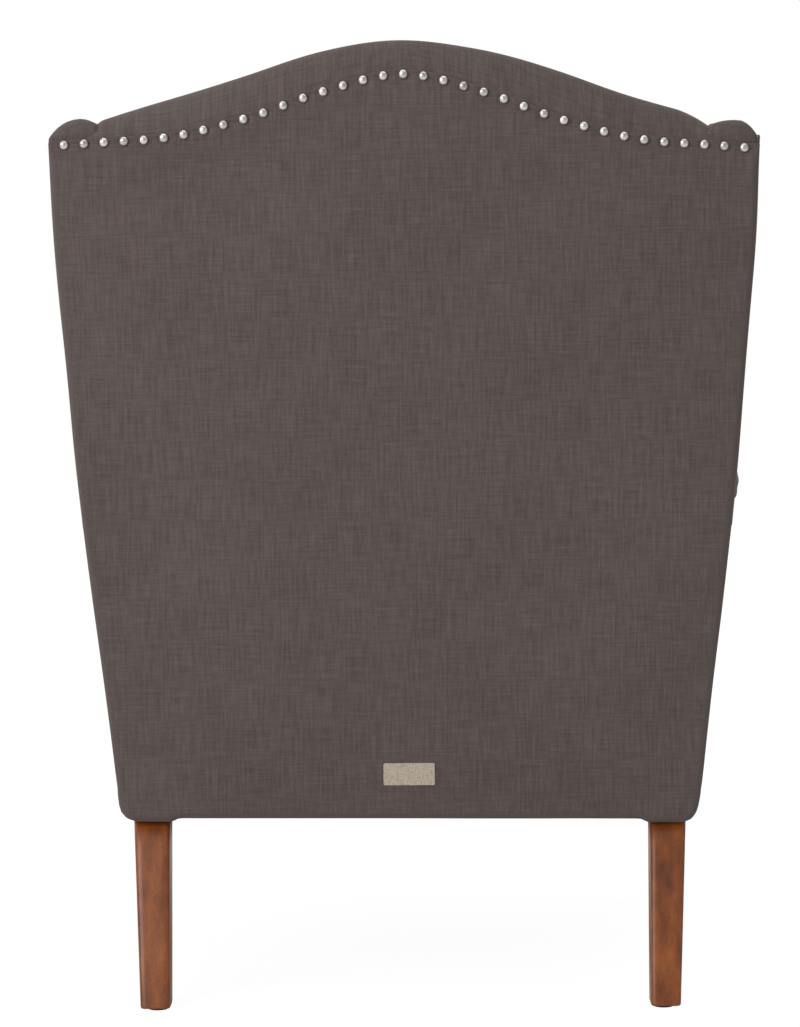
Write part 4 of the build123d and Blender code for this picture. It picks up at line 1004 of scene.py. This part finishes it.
class InsideBackOperator(bpy.types.Operator):
    """Makes the deep-buttoned inside back and its covered buttons"""

    bl_idname = "wing_chair.inside_back"
    bl_label = "Inside Back"

    def execute(self, context):
        """A grid over the pad's face, turned back at its sides as t^2 and closed by a flat rear."""
        across, share = np.linspace(-1, 1, 170), np.linspace(0, 1, 150)
        half = self.half_width(share)
        x = half[:, None] * across
        top = crest_z(np.clip(x, -CREST_HALF, CREST_HALF)) - 0.050
        z = PAD_BOTTOM + (top - PAD_BOTTOM) * share[:, None]
        edge = np.clip((np.abs(across) - 0.93) / 0.07, 0, 1)
        y = self.face(x, z, half[:, None]) + self.sink(x, z) + 0.030 * edge**2
        rear = back_y(z) - PAD_INSET
        rings = np.stack([
            np.concatenate([front, behind[:, ::-1][:, ::17]], 1)
            for front, behind in ((x, x), (y, rear), (z, z))
        ], -1)
        uv = rings[..., (0, 2)]
        piece("inside_back_cover", [(rings, uv, False)], "cover_linen", ["inside_back"])
        self.buttons()
        return {"FINISHED"}

    def half_width(self, share):
        """Half width of the pad: between the arms low down, then out to the middle of the wings."""
        z = PAD_BOTTOM + share * (PAD_TOP - PAD_BOTTOM)
        low = arm_inner_x(back_y(z) - PAD_INSET) + 0.010
        high = side_x(back_y(z) - 0.08, z) - WING_DEPTH + 0.014
        mix = np.clip((z - 0.56) / 0.06, 0, 1)
        return low + (high - low) * mix * mix * (3 - 2 * mix)

    def face(self, x, z, half):
        """The pad's face before buttoning: deepest in the middle, falling back as x^2 to the sides."""
        return pad_front_y(z) + PAD_CROWN * (x / half) ** 2

    def sink(self, x, z):
        """Diamond buttoning. In lattice coordinates p and q the buttons lie on whole numbers and the
        pleats on whole p or whole q; a pillow is the product of |sin(pi p)| and |sin(pi q)| to a low
        power. Above and below the lattice the pleats run straight up and down."""
        last = BUTTON_ROWS - 1
        row = (z - BUTTON_FIRST) / BUTTON_ROW
        column = x / (BUTTON_COLUMN / 2)
        inside = np.clip(row, 0, last)
        p, q = (column + inside) / 2, (inside - column) / 2
        pillow = (np.abs(np.sin(math.pi * p)) * np.abs(np.sin(math.pi * q))) ** 0.42
        straight = np.abs(np.sin(math.pi * x / BUTTON_COLUMN)) ** 0.5
        outside = np.maximum(-row, row - last)
        past = np.clip(outside * 2.2, 0, 1)
        height = pillow * (1 - past) + straight * past
        beyond = np.clip(outside / 2.2, 0, 1)
        calm = np.clip((np.abs(x) - 0.235) / 0.05, 0, 1) * 0.8
        bowl = near(np.stack([x, z], -1), button_places(), 0.026)
        depth = sizes().tuft_height * (1 - height) * (1 - 0.75 * beyond) * (1 - calm)
        return depth * 0.62 + bowl * (TUFT_DEPTH - 0.35 * sizes().tuft_height) - 0.003

    def buttons(self):
        """Covered buttons: a low dome, its height falling as 1 - r^2, over a rolled edge."""
        share = np.array([0.06, 0.3, 0.55, 0.78, 0.92, 1.0, 0.97, 0.85])
        lift = np.array([7.0, 6.6, 5.5, 3.9, 2.6, 1.2, 0.0, -1.0]) * 0.001
        cos, sin = np.cos(circle(24)), np.sin(circle(24))
        patches = []
        for x, z in button_places():
            half = float(self.half_width(np.array((z - PAD_BOTTOM) / (PAD_TOP - PAD_BOTTOM))))
            y = float(self.face(x, z, half)) + TUFT_DEPTH - 0.001
            ring_x = x + BUTTON_RADIUS * share[:, None] * cos
            ring_z = z + BUTTON_RADIUS * share[:, None] * sin
            rings = np.stack(np.broadcast_arrays(ring_x, y - lift[:, None], ring_z), -1)
            patches.append((rings, rings[..., (0, 2)], False))
        piece("covered_buttons", patches, "cover_linen", ["back_buttons"])


class WingsOperator(bpy.types.Operator):
    """Makes both padded wings and their flat outside panels"""

    bl_idname = "wing_chair.wings"
    bl_label = "Wings"

    def execute(self, context):
        for side, sign in SIDES:
            self.pad(side, sign)
            self.panel(side, sign)
        return {"FINISHED"}

    def free_edge(self, inset):
        """The wing's scrolled front and top, a curve through points set forward of the back."""
        rise = ARM_RAIL_TOP + np.array(WING_RISE_SHARES) * (WING_TOP - ARM_RAIL_TOP)
        reach = np.array(WING_REACH_SHARES) * WING_REACH
        return np.stack([back_y(rise) - reach + inset, rise - inset], 1)

    def before_back(self, places):
        """Points at these distances in front of the back's plane, at these heights."""
        return [(float(back_y(z)) - inset, z) for inset, z in places]

    def pad(self, side, sign):
        """A plate whose free edge is a half superellipse. Its top is domed: it falls as the square of
        the distance from a ridge inside the outer face."""
        foot, top = 0.530, WING_TOP + 0.0005
        edge = self.free_edge(0.0)
        top_y = float(back_y(top))
        corner = [(top_y - 0.018, top), (top_y - 0.007, 0.9990), (top_y - 0.0025, 0.9920)]
        rear = self.before_back([(0.002, 0.974), (0.009, 0.960), (0.009, 0.760), (0.009, foot)])
        curve = through(np.concatenate([[(edge[0, 0] + 0.004, foot)], edge, corner]), 14)
        loop = resampled(np.concatenate([curve, rear]), WING_STEP, closed=True)
        y, z = loop[:, 0], loop[:, 1]
        behind = np.clip((y - (back_y(z) - 0.028)) / 0.020, 0, 1)
        level = np.clip((z - 0.95) / 0.04, 0, 1) * (1 - behind)
        free = sizes().wing_round * (1 - behind) * (1 - level)
        round_in = np.where(z < foot + 0.01, 0.004, free + (0.007 * behind + 0.003 * level))
        inner = (0.05, 0.2, 0.36, 0.5, 0.62, 0.72, 0.8, 0.87, 0.93, 0.97)
        plane, depth, cloth = plate(
            loop, WING_HEART, round_in, WING_DEPTH / 2, WING_DEPTH, 0.007, inner, power=2.25, full=True,
        )
        y, z = plane[..., 0], plane[..., 1]
        uneven = 0.0013 * ripple(11 + int(sign), y, z) * (depth < WING_DEPTH * 0.6)
        x = side_x(y, z) - (WING_DEPTH - depth) + uneven - 0.0008
        x[-2:] -= 0.005
        rings = np.stack([sign * x, y, z - self.dome(depth, z, sign)], -1)
        node = f"inside_wing_{side}"
        piece(f"{node}_cover", [(rings, cloth, False)], "cover_linen", [node])

    def dome(self, depth, z, sign):
        """How far the top falls: a times the square of the distance from the ridge, with an a for each
        side of it, less the ridge's own rise, all fading in over the last 65 mm of height."""
        if sign > 0:
            ridge, fall_out, fall_in, rise = 0.038, 11.3, 11.3, 0.005
        else:
            ridge, fall_out, fall_in, rise = 0.025, 26.0, 1.0, -0.0028
        off = depth - WING_DEPTH + ridge
        fall = fall_out * np.maximum(off, 0) ** 2 + fall_in * np.minimum(off, 0) ** 2 - rise
        high = np.clip((z - 0.925) / 0.065, 0, 1)
        return fall * high * high * (3 - 2 * high)

    def panel(self, side, sign):
        """A thin plate on the side's plane, flatter where it meets the back's top corner."""
        foot, top = ARM_RAIL_BOTTOM + 0.002, 0.973 if sign > 0 else 0.9812
        edge = self.free_edge(0.014)
        curve = through(np.concatenate([[(edge[0, 0], foot)], edge[1:]]), 14)
        curve[:, 1] = np.minimum(curve[:, 1], top)
        rear = self.before_back([(BACK_EDGE, top), (BACK_EDGE, 0.76), (BACK_EDGE, foot)])
        loop = resampled(np.concatenate([curve, rear]), WING_STEP, closed=True)
        round_in = rim(loop, [curve[0], rear[-1]], 0.004, 0.0034)
        inner = (0.05, 0.3, 0.55, 0.75, 0.9, 0.97)
        plane, depth, cloth = plate(loop, WING_HEART, round_in, 0.003, 0.006, 0.0008, inner)
        y, z = plane[..., 0], plane[..., 1]
        shoulder = near(plane, [(back_y(SHOULDER_HEIGHT) - 0.009, SHOULDER_HEIGHT)], 0.022)
        flat = side_x(y, z) - depth * (1 - 0.75 * shoulder)
        x = flat + 0.0006 * ripple(21 + int(sign), y, z) + 0.0001
        rings = np.stack([sign * x, y, z], -1)
        node = f"outside_wing_{side}"
        piece(f"{node}_cover", [(rings, cloth, False)], "cover_linen", [node])


class ArmsOperator(bpy.types.Operator):
    """Makes the rolled arms, their outside panels and their nailed front facings"""

    bl_idname = "wing_chair.arms"
    bl_label = "Arms"

    def execute(self, context):
        for side, sign in SIDES:
            self.pad(side, sign)
            self.panel(side, sign)
            self.facing(side, sign)
        return {"FINISHED"}

    def roll_section(self):
        """The roll's section about its middle: up the slab, which bulges as a sine, round the roll, in
        under it and back."""
        rise = np.linspace(0, 1, 34)[:-1]
        bulge = 0.004 * np.sin(math.pi * rise) ** 0.8
        inner = np.stack([-ROLL_RADIUS - bulge, np.linspace(SLAB_FOOT, 0, 34)[:-1]], 1)
        under = [(ARM_PAD - ROLL_RADIUS, -ROLL_TO_RAIL), (ARM_PAD - ROLL_RADIUS, SLAB_FOOT)]
        return np.concatenate([inner, roll_arc(ROLL_RADIUS, 60), under])

    def pad(self, side, sign):
        """The roll's section carried along its centre line. At the rear the roll shrinks as
        sqrt(1 - t^2), while its underside stays out over the rail, and gathers of 22 pleats round the
        roll fade from both ends."""
        section = self.roll_section()
        across, rise = section[None, :, 0], section[None, :, 1]
        last, closing_y = ROLL_END_Y + 0.004, 0.130
        y = np.concatenate([
            [-0.3995, -0.3985, -0.3955],
            np.linspace(-0.390, 0.128, 120),
            last - 0.044 * (1 - np.sin(np.linspace(0.1, math.pi / 2, 16))),
        ])[:, None]
        ending = np.clip((y - closing_y) / (last - closing_y), 0, 1)
        starting = np.array([0.965, 0.985, 0.996] + [1.0] * (len(y) - 3))[:, None]
        round_part = rise > -ROLL_TO_RAIL - 1e-6
        share = np.where(round_part, np.sqrt(np.maximum(1 - ending**2, 0.0025)) * starting, 1.0)
        lower = np.clip(-rise / 0.020, 0, 1) * (across > 0) * (ending > 0)
        u, v = across * share, rise * (share + (1 - share) * lower)
        wing = side_x(y, ROLL_HEIGHT + v) - roll_x(y) + 0.0008
        u = np.where(lower > 0, np.maximum(u, np.minimum(across, wing) * lower), u)
        front = np.exp(-(y - FACING_REAR_Y) / 0.030)
        end = np.exp(-(ROLL_END_Y - y) / 0.035) * (y < ROLL_END_Y + 0.01)
        gather = np.cos(np.arctan2(v, u) * 22) * round_part
        swell = 1 + (0.0012 * gather * front + 0.0016 * gather * np.minimum(end, 1)) / ROLL_RADIUS
        along = np.broadcast_to(y, u.shape)
        x = roll_x(along) + u * swell + 0.0012 * ripple(31 + int(sign), along, v) * (u < 0)
        z = ROLL_HEIGHT + v * swell + 0.0012 * ripple(41 + int(sign), along, u) * round_part
        roll = (np.stack([sign * x, along, z], -1), section_uv(along, section, 0.2), False)
        node = f"inside_arm_{side}"
        piece(f"{node}_cover", [roll, self.slab(sign)], "cover_linen", [node])

    def slab(self, sign):
        """The inside arm behind the roll: one section carried on under the wing to the deck's rear."""
        section = np.array([
            (-ROLL_RADIUS, SLAB_FOOT), (-ROLL_RADIUS - 0.003, -0.13), (-ROLL_RADIUS, 0.0),
            (-ROLL_RADIUS + 0.010, 0.030), (ARM_PAD - ROLL_RADIUS, 0.034),
            (ARM_PAD - ROLL_RADIUS, SLAB_FOOT),
        ])
        y = np.linspace(0.10, DECK_REAR, 24)[:, None]
        x = roll_x(y) + section[None, :, 0] + 0.0005
        rings = np.stack(np.broadcast_arrays(sign * x, y, ROLL_HEIGHT + section[None, :, 1]), -1)
        return rings, rings[..., 1:], False

    def panel(self, side, sign):
        """A flat plate on the side's plane, from the facing to the back, turned in at its rear foot."""
        front, foot, top = FACING_REAR_Y + 0.0005, OUTSIDE_ARM_BOTTOM, ARM_RAIL_BOTTOM + 0.001
        rear = float(back_y(ARM_RAIL_BOTTOM)) - BACK_EDGE
        corners = [(front, foot), (BACK_BOTTOM_Y - 0.0085, foot), (rear, top), (front, top)]
        loop = rounded_loop(corners, (0.004, 0.006, 0.003, 0.003), 0.005)
        round_in = rim(loop, corners, 0.005, 0.0042)
        inner = (0.05, 0.3, 0.55, 0.75, 0.88, 0.95, 0.98)
        plane, depth, cloth = plate(loop, OUTSIDE_ARM_HEART, round_in, 0.004, 0.006, 0.0012, inner)
        y, z = plane[..., 0], plane[..., 1]
        turned_in = near(plane, [(BACK_BOTTOM_Y - 0.004, foot)], 0.020)
        flat = side_x(y, z) - depth * (1 - 0.6 * turned_in)
        x = flat + 0.0006 * ripple(51 + int(sign), y, z) - 0.0004 - 0.0042 * turned_in
        rings = np.stack([sign * x, y, z], -1)
        node = f"outside_arm_{side}"
        piece(f"{node}_cover", [(rings, cloth, False)], "cover_linen", [node])

    def facing(self, side, sign):
        """The keyhole front: a round head on a stem, a flat plate puffed between its nails."""
        centre = float(roll_x(FRAME_FRONT_Y))
        radius = ROLL_RADIUS + 0.0005
        head = roll_arc(radius, 90) + (centre, ROLL_HEIGHT)
        neck_z = np.linspace(ARM_RAIL_BOTTOM - 0.006, 0.218, 30)
        outer = np.stack([side_x(FRAME_FRONT_Y, neck_z) + 0.0008, neck_z], 1)
        foot = [
            (outer[-1, 0] - 0.004, FRONT_BOTTOM), (centre - radius + 0.005, FRONT_BOTTOM),
            (centre - radius, 0.218),
        ]
        loop = resampled(np.concatenate([head, outer, foot]), NAILED_STEP, closed=True)
        inner = (0.05, 0.25, 0.45, 0.6, 0.7, 0.78, 0.84, 0.89, 0.93, 0.965)
        heart = np.array([centre - 0.004, 0.520])
        plane, depth, cloth = plate(loop, heart, 0.0045, 0.0045, 0.007, 0.0, inner)
        nails = near(plane, facing_nail_places(), 0.0085)
        middle = np.clip(np.linalg.norm(plane - plane[0].mean(0), axis=-1) / 0.02, 0, 1)
        lift = np.where(depth > 0, 0, 0.0014 * (1 - 1.5 * nails) * middle + 0.0006)
        rings = np.stack([sign * plane[..., 0], FACING_FRONT_Y + depth - lift, plane[..., 1]], -1)
        node = f"arm_facing_{side}"
        piece(f"{node}_cover", [(rings, cloth, False)], "cover_linen", [node])


class SeatOperator(bpy.types.Operator):
    """Makes the padded front border, the deck under the cushion and the dust cover"""

    bl_idname = "wing_chair.seat"
    bl_label = "Seat"

    def execute(self, context):
        self.border()
        self.deck()
        self.dust_cover()
        return {"FINISHED"}

    def border(self):
        """The front border: one section, rounded over its top edge, carried from arm to arm. Its face
        stands out as a sine of the height."""
        front, lip_y, lip_z = FRAME_FRONT_Y - 0.012, FRAME_FRONT_Y + 0.032, 0.330
        section = rounded_loop([
            (front, FRONT_BOTTOM), (front, BORDER_TOP), (lip_y, BORDER_TOP), (lip_y, lip_z),
            (FRAME_FRONT_Y, lip_z), (FRAME_FRONT_Y, FRONT_BOTTOM),
        ], (0.004, 0.013, 0.002, 0.002, 0.001, 0.001), 0.0035)
        x, y, z = np.broadcast_arrays(np.linspace(-0.309, 0.309, 110)[:, None], *section.T[:, None])
        rise = np.clip((z - FRONT_BOTTOM) / (BORDER_TOP - FRONT_BOTTOM), 0, 1)
        face = (y < front + 0.004) * np.sin(math.pi * rise)
        rings = np.stack([x, y - 0.0035 * face + 0.0008 * ripple(61, x, z) * face, z], -1)
        uv = section_uv(x, section, 0.0035)
        piece("front_border_cover", [(rings, uv, False)], "cover_linen", ["front_border"])

    def deck(self):
        """A flat plate between the arms, lined with plain cloth that lies slack by up to 2 mm."""
        front = FRAME_FRONT_Y + 0.0325
        wide, narrow = float(arm_inner_x(front)), float(arm_inner_x(DECK_REAR))
        corners = [(-wide, front), (wide, front), (narrow, DECK_REAR), (-narrow, DECK_REAR)]
        loop = rounded_loop(corners, (0.004,) * 4, 0.012)
        inner = (0.05, 0.3, 0.6, 0.85, 0.97)
        plane, depth, cloth = plate(loop, np.array([0, -0.05]), 0.006, 0.006, 0.020, 0.0, inner)
        x, y = plane[..., 0], plane[..., 1]
        slack = 0.002 * (0.5 + 0.5 * ripple(71, x, y)) * (depth <= 0)
        rings = np.stack([x, y, DECK_TOP - depth - slack], -1)
        piece("seat_deck_cover", [(rings, cloth, False)], "deck_cloth", ["deck_pad"])

    def dust_cover(self):
        """A sheet stapled under the rails: it hangs lowest in the middle, as 1 - r^2."""
        front, rear = FRAME_FRONT_Y, BACK_BOTTOM_Y - 0.008
        corners = [(-0.360, front), (0.360, front), (0.324, rear), (-0.324, rear)]
        loop = rounded_loop(corners, (0.02,) * 4, 0.012)
        inner = (0.05, 0.3, 0.5, 0.7, 0.85, 0.95)
        plane, depth, cloth = plate(loop, np.array([0, -0.04]), 0.0006, 0.0006, 0.0012, 0.004, inner)
        rings = np.concatenate([plane, (0.2128 + depth)[..., None]], -1)
        obj = piece("dust_cover_cloth", [(rings, cloth, False)], "black_cambric", ["dust_cover"])


class CushionOperator(bpy.types.Operator):
    """Makes the loose boxed cushion, filled by a cloth simulation between its welted seams"""

    bl_idname = "wing_chair.cushion"
    bl_label = "Cushion"

    def execute(self, context):
        top = self.seam(CUSHION_BOTTOM + CUSHION_BOXING - SEAM_INSET)
        low = self.seam(CUSHION_BOTTOM + SEAM_INSET)
        rings, uv, pinned = self.form(top, low)
        rings = self.filled(rings, uv, pinned)
        rings = self.finer(self.kept_clear(rings))
        # finer doubles the rings' numbers, so midway between the seams is the sum of their old ones
        rings = self.zip_slot(rings, sum(pinned))
        patches = [(rings, self.finer(uv), False)]
        nodes = ["cushion_cover", "cushion_core"]
        piece("seat_cushion_cover", patches, "cover_linen", nodes, body="cushion")
        self.welts(top, low)
        return {"FINISHED"}

    def seam(self, z):
        """A welted seam: the cushion's plan, narrower to the back, with rounded corners."""
        front, rear = CUSHION_FRONT + SEAM_INSET, CUSHION_REAR - SEAM_INSET
        middle = (front + rear) / 2
        wide, narrow = (float(arm_inner_x(y) - CUSHION_GAP - SEAM_INSET) for y in (front, rear))
        waist = wide * 0.5 + narrow * 0.5
        half = [(wide, front), (waist, middle), (narrow, rear)]
        corners = half + [(-x, y) for x, y in half[::-1]]
        plan = rounded_loop(corners, (0.016, 0.002, 0.016) * 2, 0.0085)
        return np.concatenate([plan, np.full((len(plan), 1), z)], 1)

    def form(self, top, low):
        """Rings from the middle of the top out to its seam, down the boxing and in under. The top is a
        crown that falls as 1 - r^3; the boxing bows out as a sine between its seams. Returns the rings,
        their cloth coordinates and the numbers of the two seams' rings."""
        heart = np.array([0, (CUSHION_FRONT + CUSHION_REAR) / 2])
        shares = np.array([0.04, 0.14, 0.26, 0.38, 0.50, 0.60, 0.70, 0.78, 0.85, 0.91, 0.96, 1.0])
        normal = outward(top[:, :2])
        rings, cloth, pinned = [], [], []
        for share in shares:
            plan = heart + (top[:, :2] - heart) * share
            rise = sizes().cushion_crown * (1 - share**3)
            rings.append(np.concatenate([plan, (top[:, 2] + rise)[:, None]], 1))
            cloth.append(plan)
        pinned.append(len(rings) - 1)
        depth = top[0, 2] - low[0, 2]
        for share in np.linspace(0, 1, 13)[1:]:
            bow = 0.0035 * math.sin(math.pi * share)
            plan = top[:, :2] + normal * bow
            rings.append(np.concatenate([plan, (top[:, 2] - depth * share)[:, None]], 1))
            cloth.append(top[:, :2] + normal * depth * share)
        pinned.append(len(rings) - 1)
        for share in shares[::-1][1:]:
            plan = heart + (low[:, :2] - heart) * share
            rings.append(np.concatenate([plan, (low[:, 2] - 0.0018 * (1 - share**3))[:, None]], 1))
            cloth.append(plan)
        return np.array(rings), np.array(cloth), pinned

    def filled(self, rings, uv, pinned):
        """Inflates the cover with its two seams held, twenty frames, and moves no point over 14 mm."""
        frames, furthest = 20, 0.014
        scene = bpy.context.scene
        obj = skin("cushion_filling", [(rings, uv, False)], looks()["cover_linen"])
        seams = obj.vertex_groups.new(name="seams")
        held = [row * rings.shape[1] + column for row in pinned for column in range(rings.shape[1])]
        seams.add(held, 1.0, "REPLACE")
        cloth = obj.modifiers.new("Cloth", "CLOTH")
        cloth.settings.quality = 7
        cloth.settings.mass = 0.25
        cloth.settings.tension_stiffness = 18
        cloth.settings.compression_stiffness = 12
        cloth.settings.shear_stiffness = 6
        cloth.settings.bending_stiffness = 0.6
        cloth.settings.use_pressure = True
        cloth.settings.uniform_pressure_force = sizes().cushion_pressure
        cloth.settings.vertex_group_mass = "seams"
        cloth.settings.shrink_min = -0.035
        cloth.settings.effector_weights.gravity = 0
        cloth.point_cache.frame_start, cloth.point_cache.frame_end = 1, frames
        for step in range(1, frames + 1):
            scene.frame_set(step)
        settled = obj.evaluated_get(bpy.context.evaluated_depsgraph_get())
        moved = np.empty(rings.size)
        settled.data.vertices.foreach_get("co", moved)
        scene.frame_set(1)
        mesh = obj.data
        bpy.data.objects.remove(obj)
        bpy.data.meshes.remove(mesh)
        shift = moved.reshape(rings.shape) - rings
        length = np.linalg.norm(shift, axis=-1, keepdims=True)
        return rings + shift * np.minimum(1, furthest / np.maximum(length, 1e-9))

    def kept_clear(self, rings):
        """Presses the cushion back from the arms, the inside back and the deck that it rests on."""
        x, y, z = rings[..., 0], rings[..., 1], rings[..., 2]
        limit = arm_inner_x(y) - 0.0045
        x = np.clip(x, -limit, limit)
        y = np.clip(y, CUSHION_FRONT - 0.004, CUSHION_REAR - 0.0002)
        return np.stack([x, y, np.maximum(z, CUSHION_BOTTOM)], -1)

    def finer(self, grid):
        """Twice as many points each way. A new point lies between b and c at (9(b + c) - a - d) / 16."""
        around = (9 * (grid + np.roll(grid, -1, 1)) - np.roll(grid, 1, 1) - np.roll(grid, -2, 1)) / 16
        grid = np.stack([grid, around], 2).reshape(len(grid), -1, grid.shape[-1])
        ends = np.concatenate([2 * grid[:1] - grid[1:2], grid, 2 * grid[-1:] - grid[-2:-1]])
        between = (9 * (ends[1:-2] + ends[2:-1]) - ends[:-3] - ends[3:]) / 16
        out = np.empty((2 * len(grid) - 1,) + grid.shape[1:])
        out[::2], out[1::2] = grid, between
        return out

    def zip_slot(self, rings, middle):
        """Parts the rear boxing along the zip: the middle ring and its neighbours sink in a straight line
        behind the chain, and the next two close up to the chain's edges. Fades over 6 mm at its ends."""
        x, y = rings[middle, :, 0], rings[middle, :, 1]
        along = np.clip((ZIP_HALF - np.abs(x)) / 0.006, 0, 1) * (y > CUSHION_REAR - 0.012)
        for step, off in ((-2, 0.0060), (-1, 0.0046), (0, 0.0), (1, -0.0046), (2, -0.0060)):
            ring = rings[middle + step]
            ring[:, 2] += (ZIP_HEIGHT + off - ring[:, 2]) * along
            if abs(step) < 2:
                ring[:, 1] += (ZIP_FLOOR_Y - ring[:, 1]) * along
        return rings

    def welts(self, top, low):
        """Piping: a circle carried along each seam, its radius uneven by a small sine."""
        spacing, cord = 0.0045, 0.0030
        cos, sin = (f(circle(12))[None, :, None] for f in (np.cos, np.sin))
        patches = []
        for seam in (top, low):
            path = resampled(seam, spacing, closed=True)
            normal = outward(path[:, :2])
            normal = np.concatenate([normal, np.zeros((len(path), 1))], 1)
            run = np.arange(len(path)) * spacing
            radius = cord + 0.00015 * np.sin(run[:, None, None] * 900)
            rings = path[:, None] + radius * (cos * normal[:, None] + sin * np.array([0, 0, 1.0]))
            uv = np.stack(np.broadcast_arrays(run[:, None], circle(12)[None] * cord), -1)
            patches.append((rings, uv, True))
        piece("cushion_piping", patches, "cover_linen", ["cushion_welts"], body="cushion")


class NailsOperator(bpy.types.Operator):
    """Makes the outside back's domed nailheads"""

    bl_idname = "wing_chair.nails"
    bl_label = "Back Nails"

    def execute(self, context):
        """Each head is spun from a profile whose height falls as sqrt(1 - r^2), set on the raked back."""
        radius, height, sunk = 0.00525, 0.0040, 0.0012
        share = np.array([0.06, 0.25, 0.45, 0.63, 0.78, 0.90, 0.97, 1.0, 0.96])
        lift = height * np.sqrt(np.maximum(1 - share**2, 0))
        lift[-1] = -sunk
        up = np.array([0, RAKE, 1.0]) / math.hypot(1, RAKE)
        out = np.array([0, 1.0, -RAKE]) / math.hypot(1, RAKE)
        ring = np.cos(circle(24))[:, None] * np.array([1.0, 0, 0]) + np.sin(circle(24))[:, None] * up
        patches = []
        for x, z in back_nail_places():
            centre = np.array([x, float(back_y(z)) + 0.0004, z])
            rings = centre + radius * share[:, None, None] * ring + lift[:, None, None] * out
            patches.append((rings, rings[..., (0, 2)], False))
        piece("back_nail_heads", patches, "nickel", ["back_nails"])
        return {"FINISHED"}


class LabelOperator(bpy.types.Operator):
    """Makes the bare woven label with its turned ends"""

    bl_idname = "wing_chair.label"
    bl_label = "Label"

    def execute(self, context):
        """A thin plate on the outside back, sewn down along a groove at each end, which is a bell
        curve across, and slightly wavy between."""
        half, low, high = 0.0295, 0.2465, 0.2725
        corners = [(-half, low), (half, low), (half, high), (-half, high)]
        loop = rounded_loop(corners, (0.0015,) * 4, 0.0015)
        inner = (0.05, 0.3, 0.5, 0.7, 0.82, 0.9, 0.96)
        plane, depth, cloth = plate(loop, np.array([0, 0.2595]), 0.0006, 0.0006, 0.0009, 0.0, inner)
        x, z = plane[..., 0], plane[..., 1]
        hem = np.exp(-((np.abs(x) - 0.0262) / 0.0006) ** 2) * 0.0004
        y = back_y(z) + 0.0016 - depth + 0.0005 * ripple(81, x * 3, z * 3) - hem
        rings = np.stack([x, y, z], -1)
        obj = piece("label_cloth", [(rings, cloth, False)], "label_cloth", ["label_tag"])
        return {"FINISHED"}


class WingChairPanel(bpy.types.Panel):
    """Lists the steps that dress the chair"""

    bl_idname = "VIEW3D_PT_wing_chair"
    bl_label = "Wing Chair"
    bl_space_type = "VIEW_3D"
    bl_region_type = "UI"
    bl_category = "Wing Chair"

    def draw(self, context):
        column = self.layout.column()
        for step in STEPS:
            column.operator(step.bl_idname)
        for group in (context.scene.wing_chair_sizes, context.scene.wing_chair_colours):
            for name in group.__annotations__:
                column.prop(group, name)


STEPS = (
    StageOperator, FrameOperator, LegsOperator, OutsideBackOperator, CrestOperator, InsideBackOperator,
    WingsOperator, ArmsOperator, SeatOperator, CushionOperator, NailsOperator, LabelOperator,
)
CLASSES = (WingChairSizes, WingChairColours) + STEPS + (WingChairPanel,)


def register():
    for item in CLASSES:
        bpy.utils.register_class(item)
    bpy.types.Scene.wing_chair_sizes = bpy.props.PointerProperty(type=WingChairSizes)
    bpy.types.Scene.wing_chair_colours = bpy.props.PointerProperty(type=WingChairColours)


def unregister():
    del bpy.types.Scene.wing_chair_colours
    del bpy.types.Scene.wing_chair_sizes
    for item in reversed(CLASSES):
        bpy.utils.unregister_class(item)


def main():
    register()
    for step in STEPS:
        family, name = step.bl_idname.split(".")
        getattr(getattr(bpy.ops, family), name)()


if __name__ == "__main__":
    main()
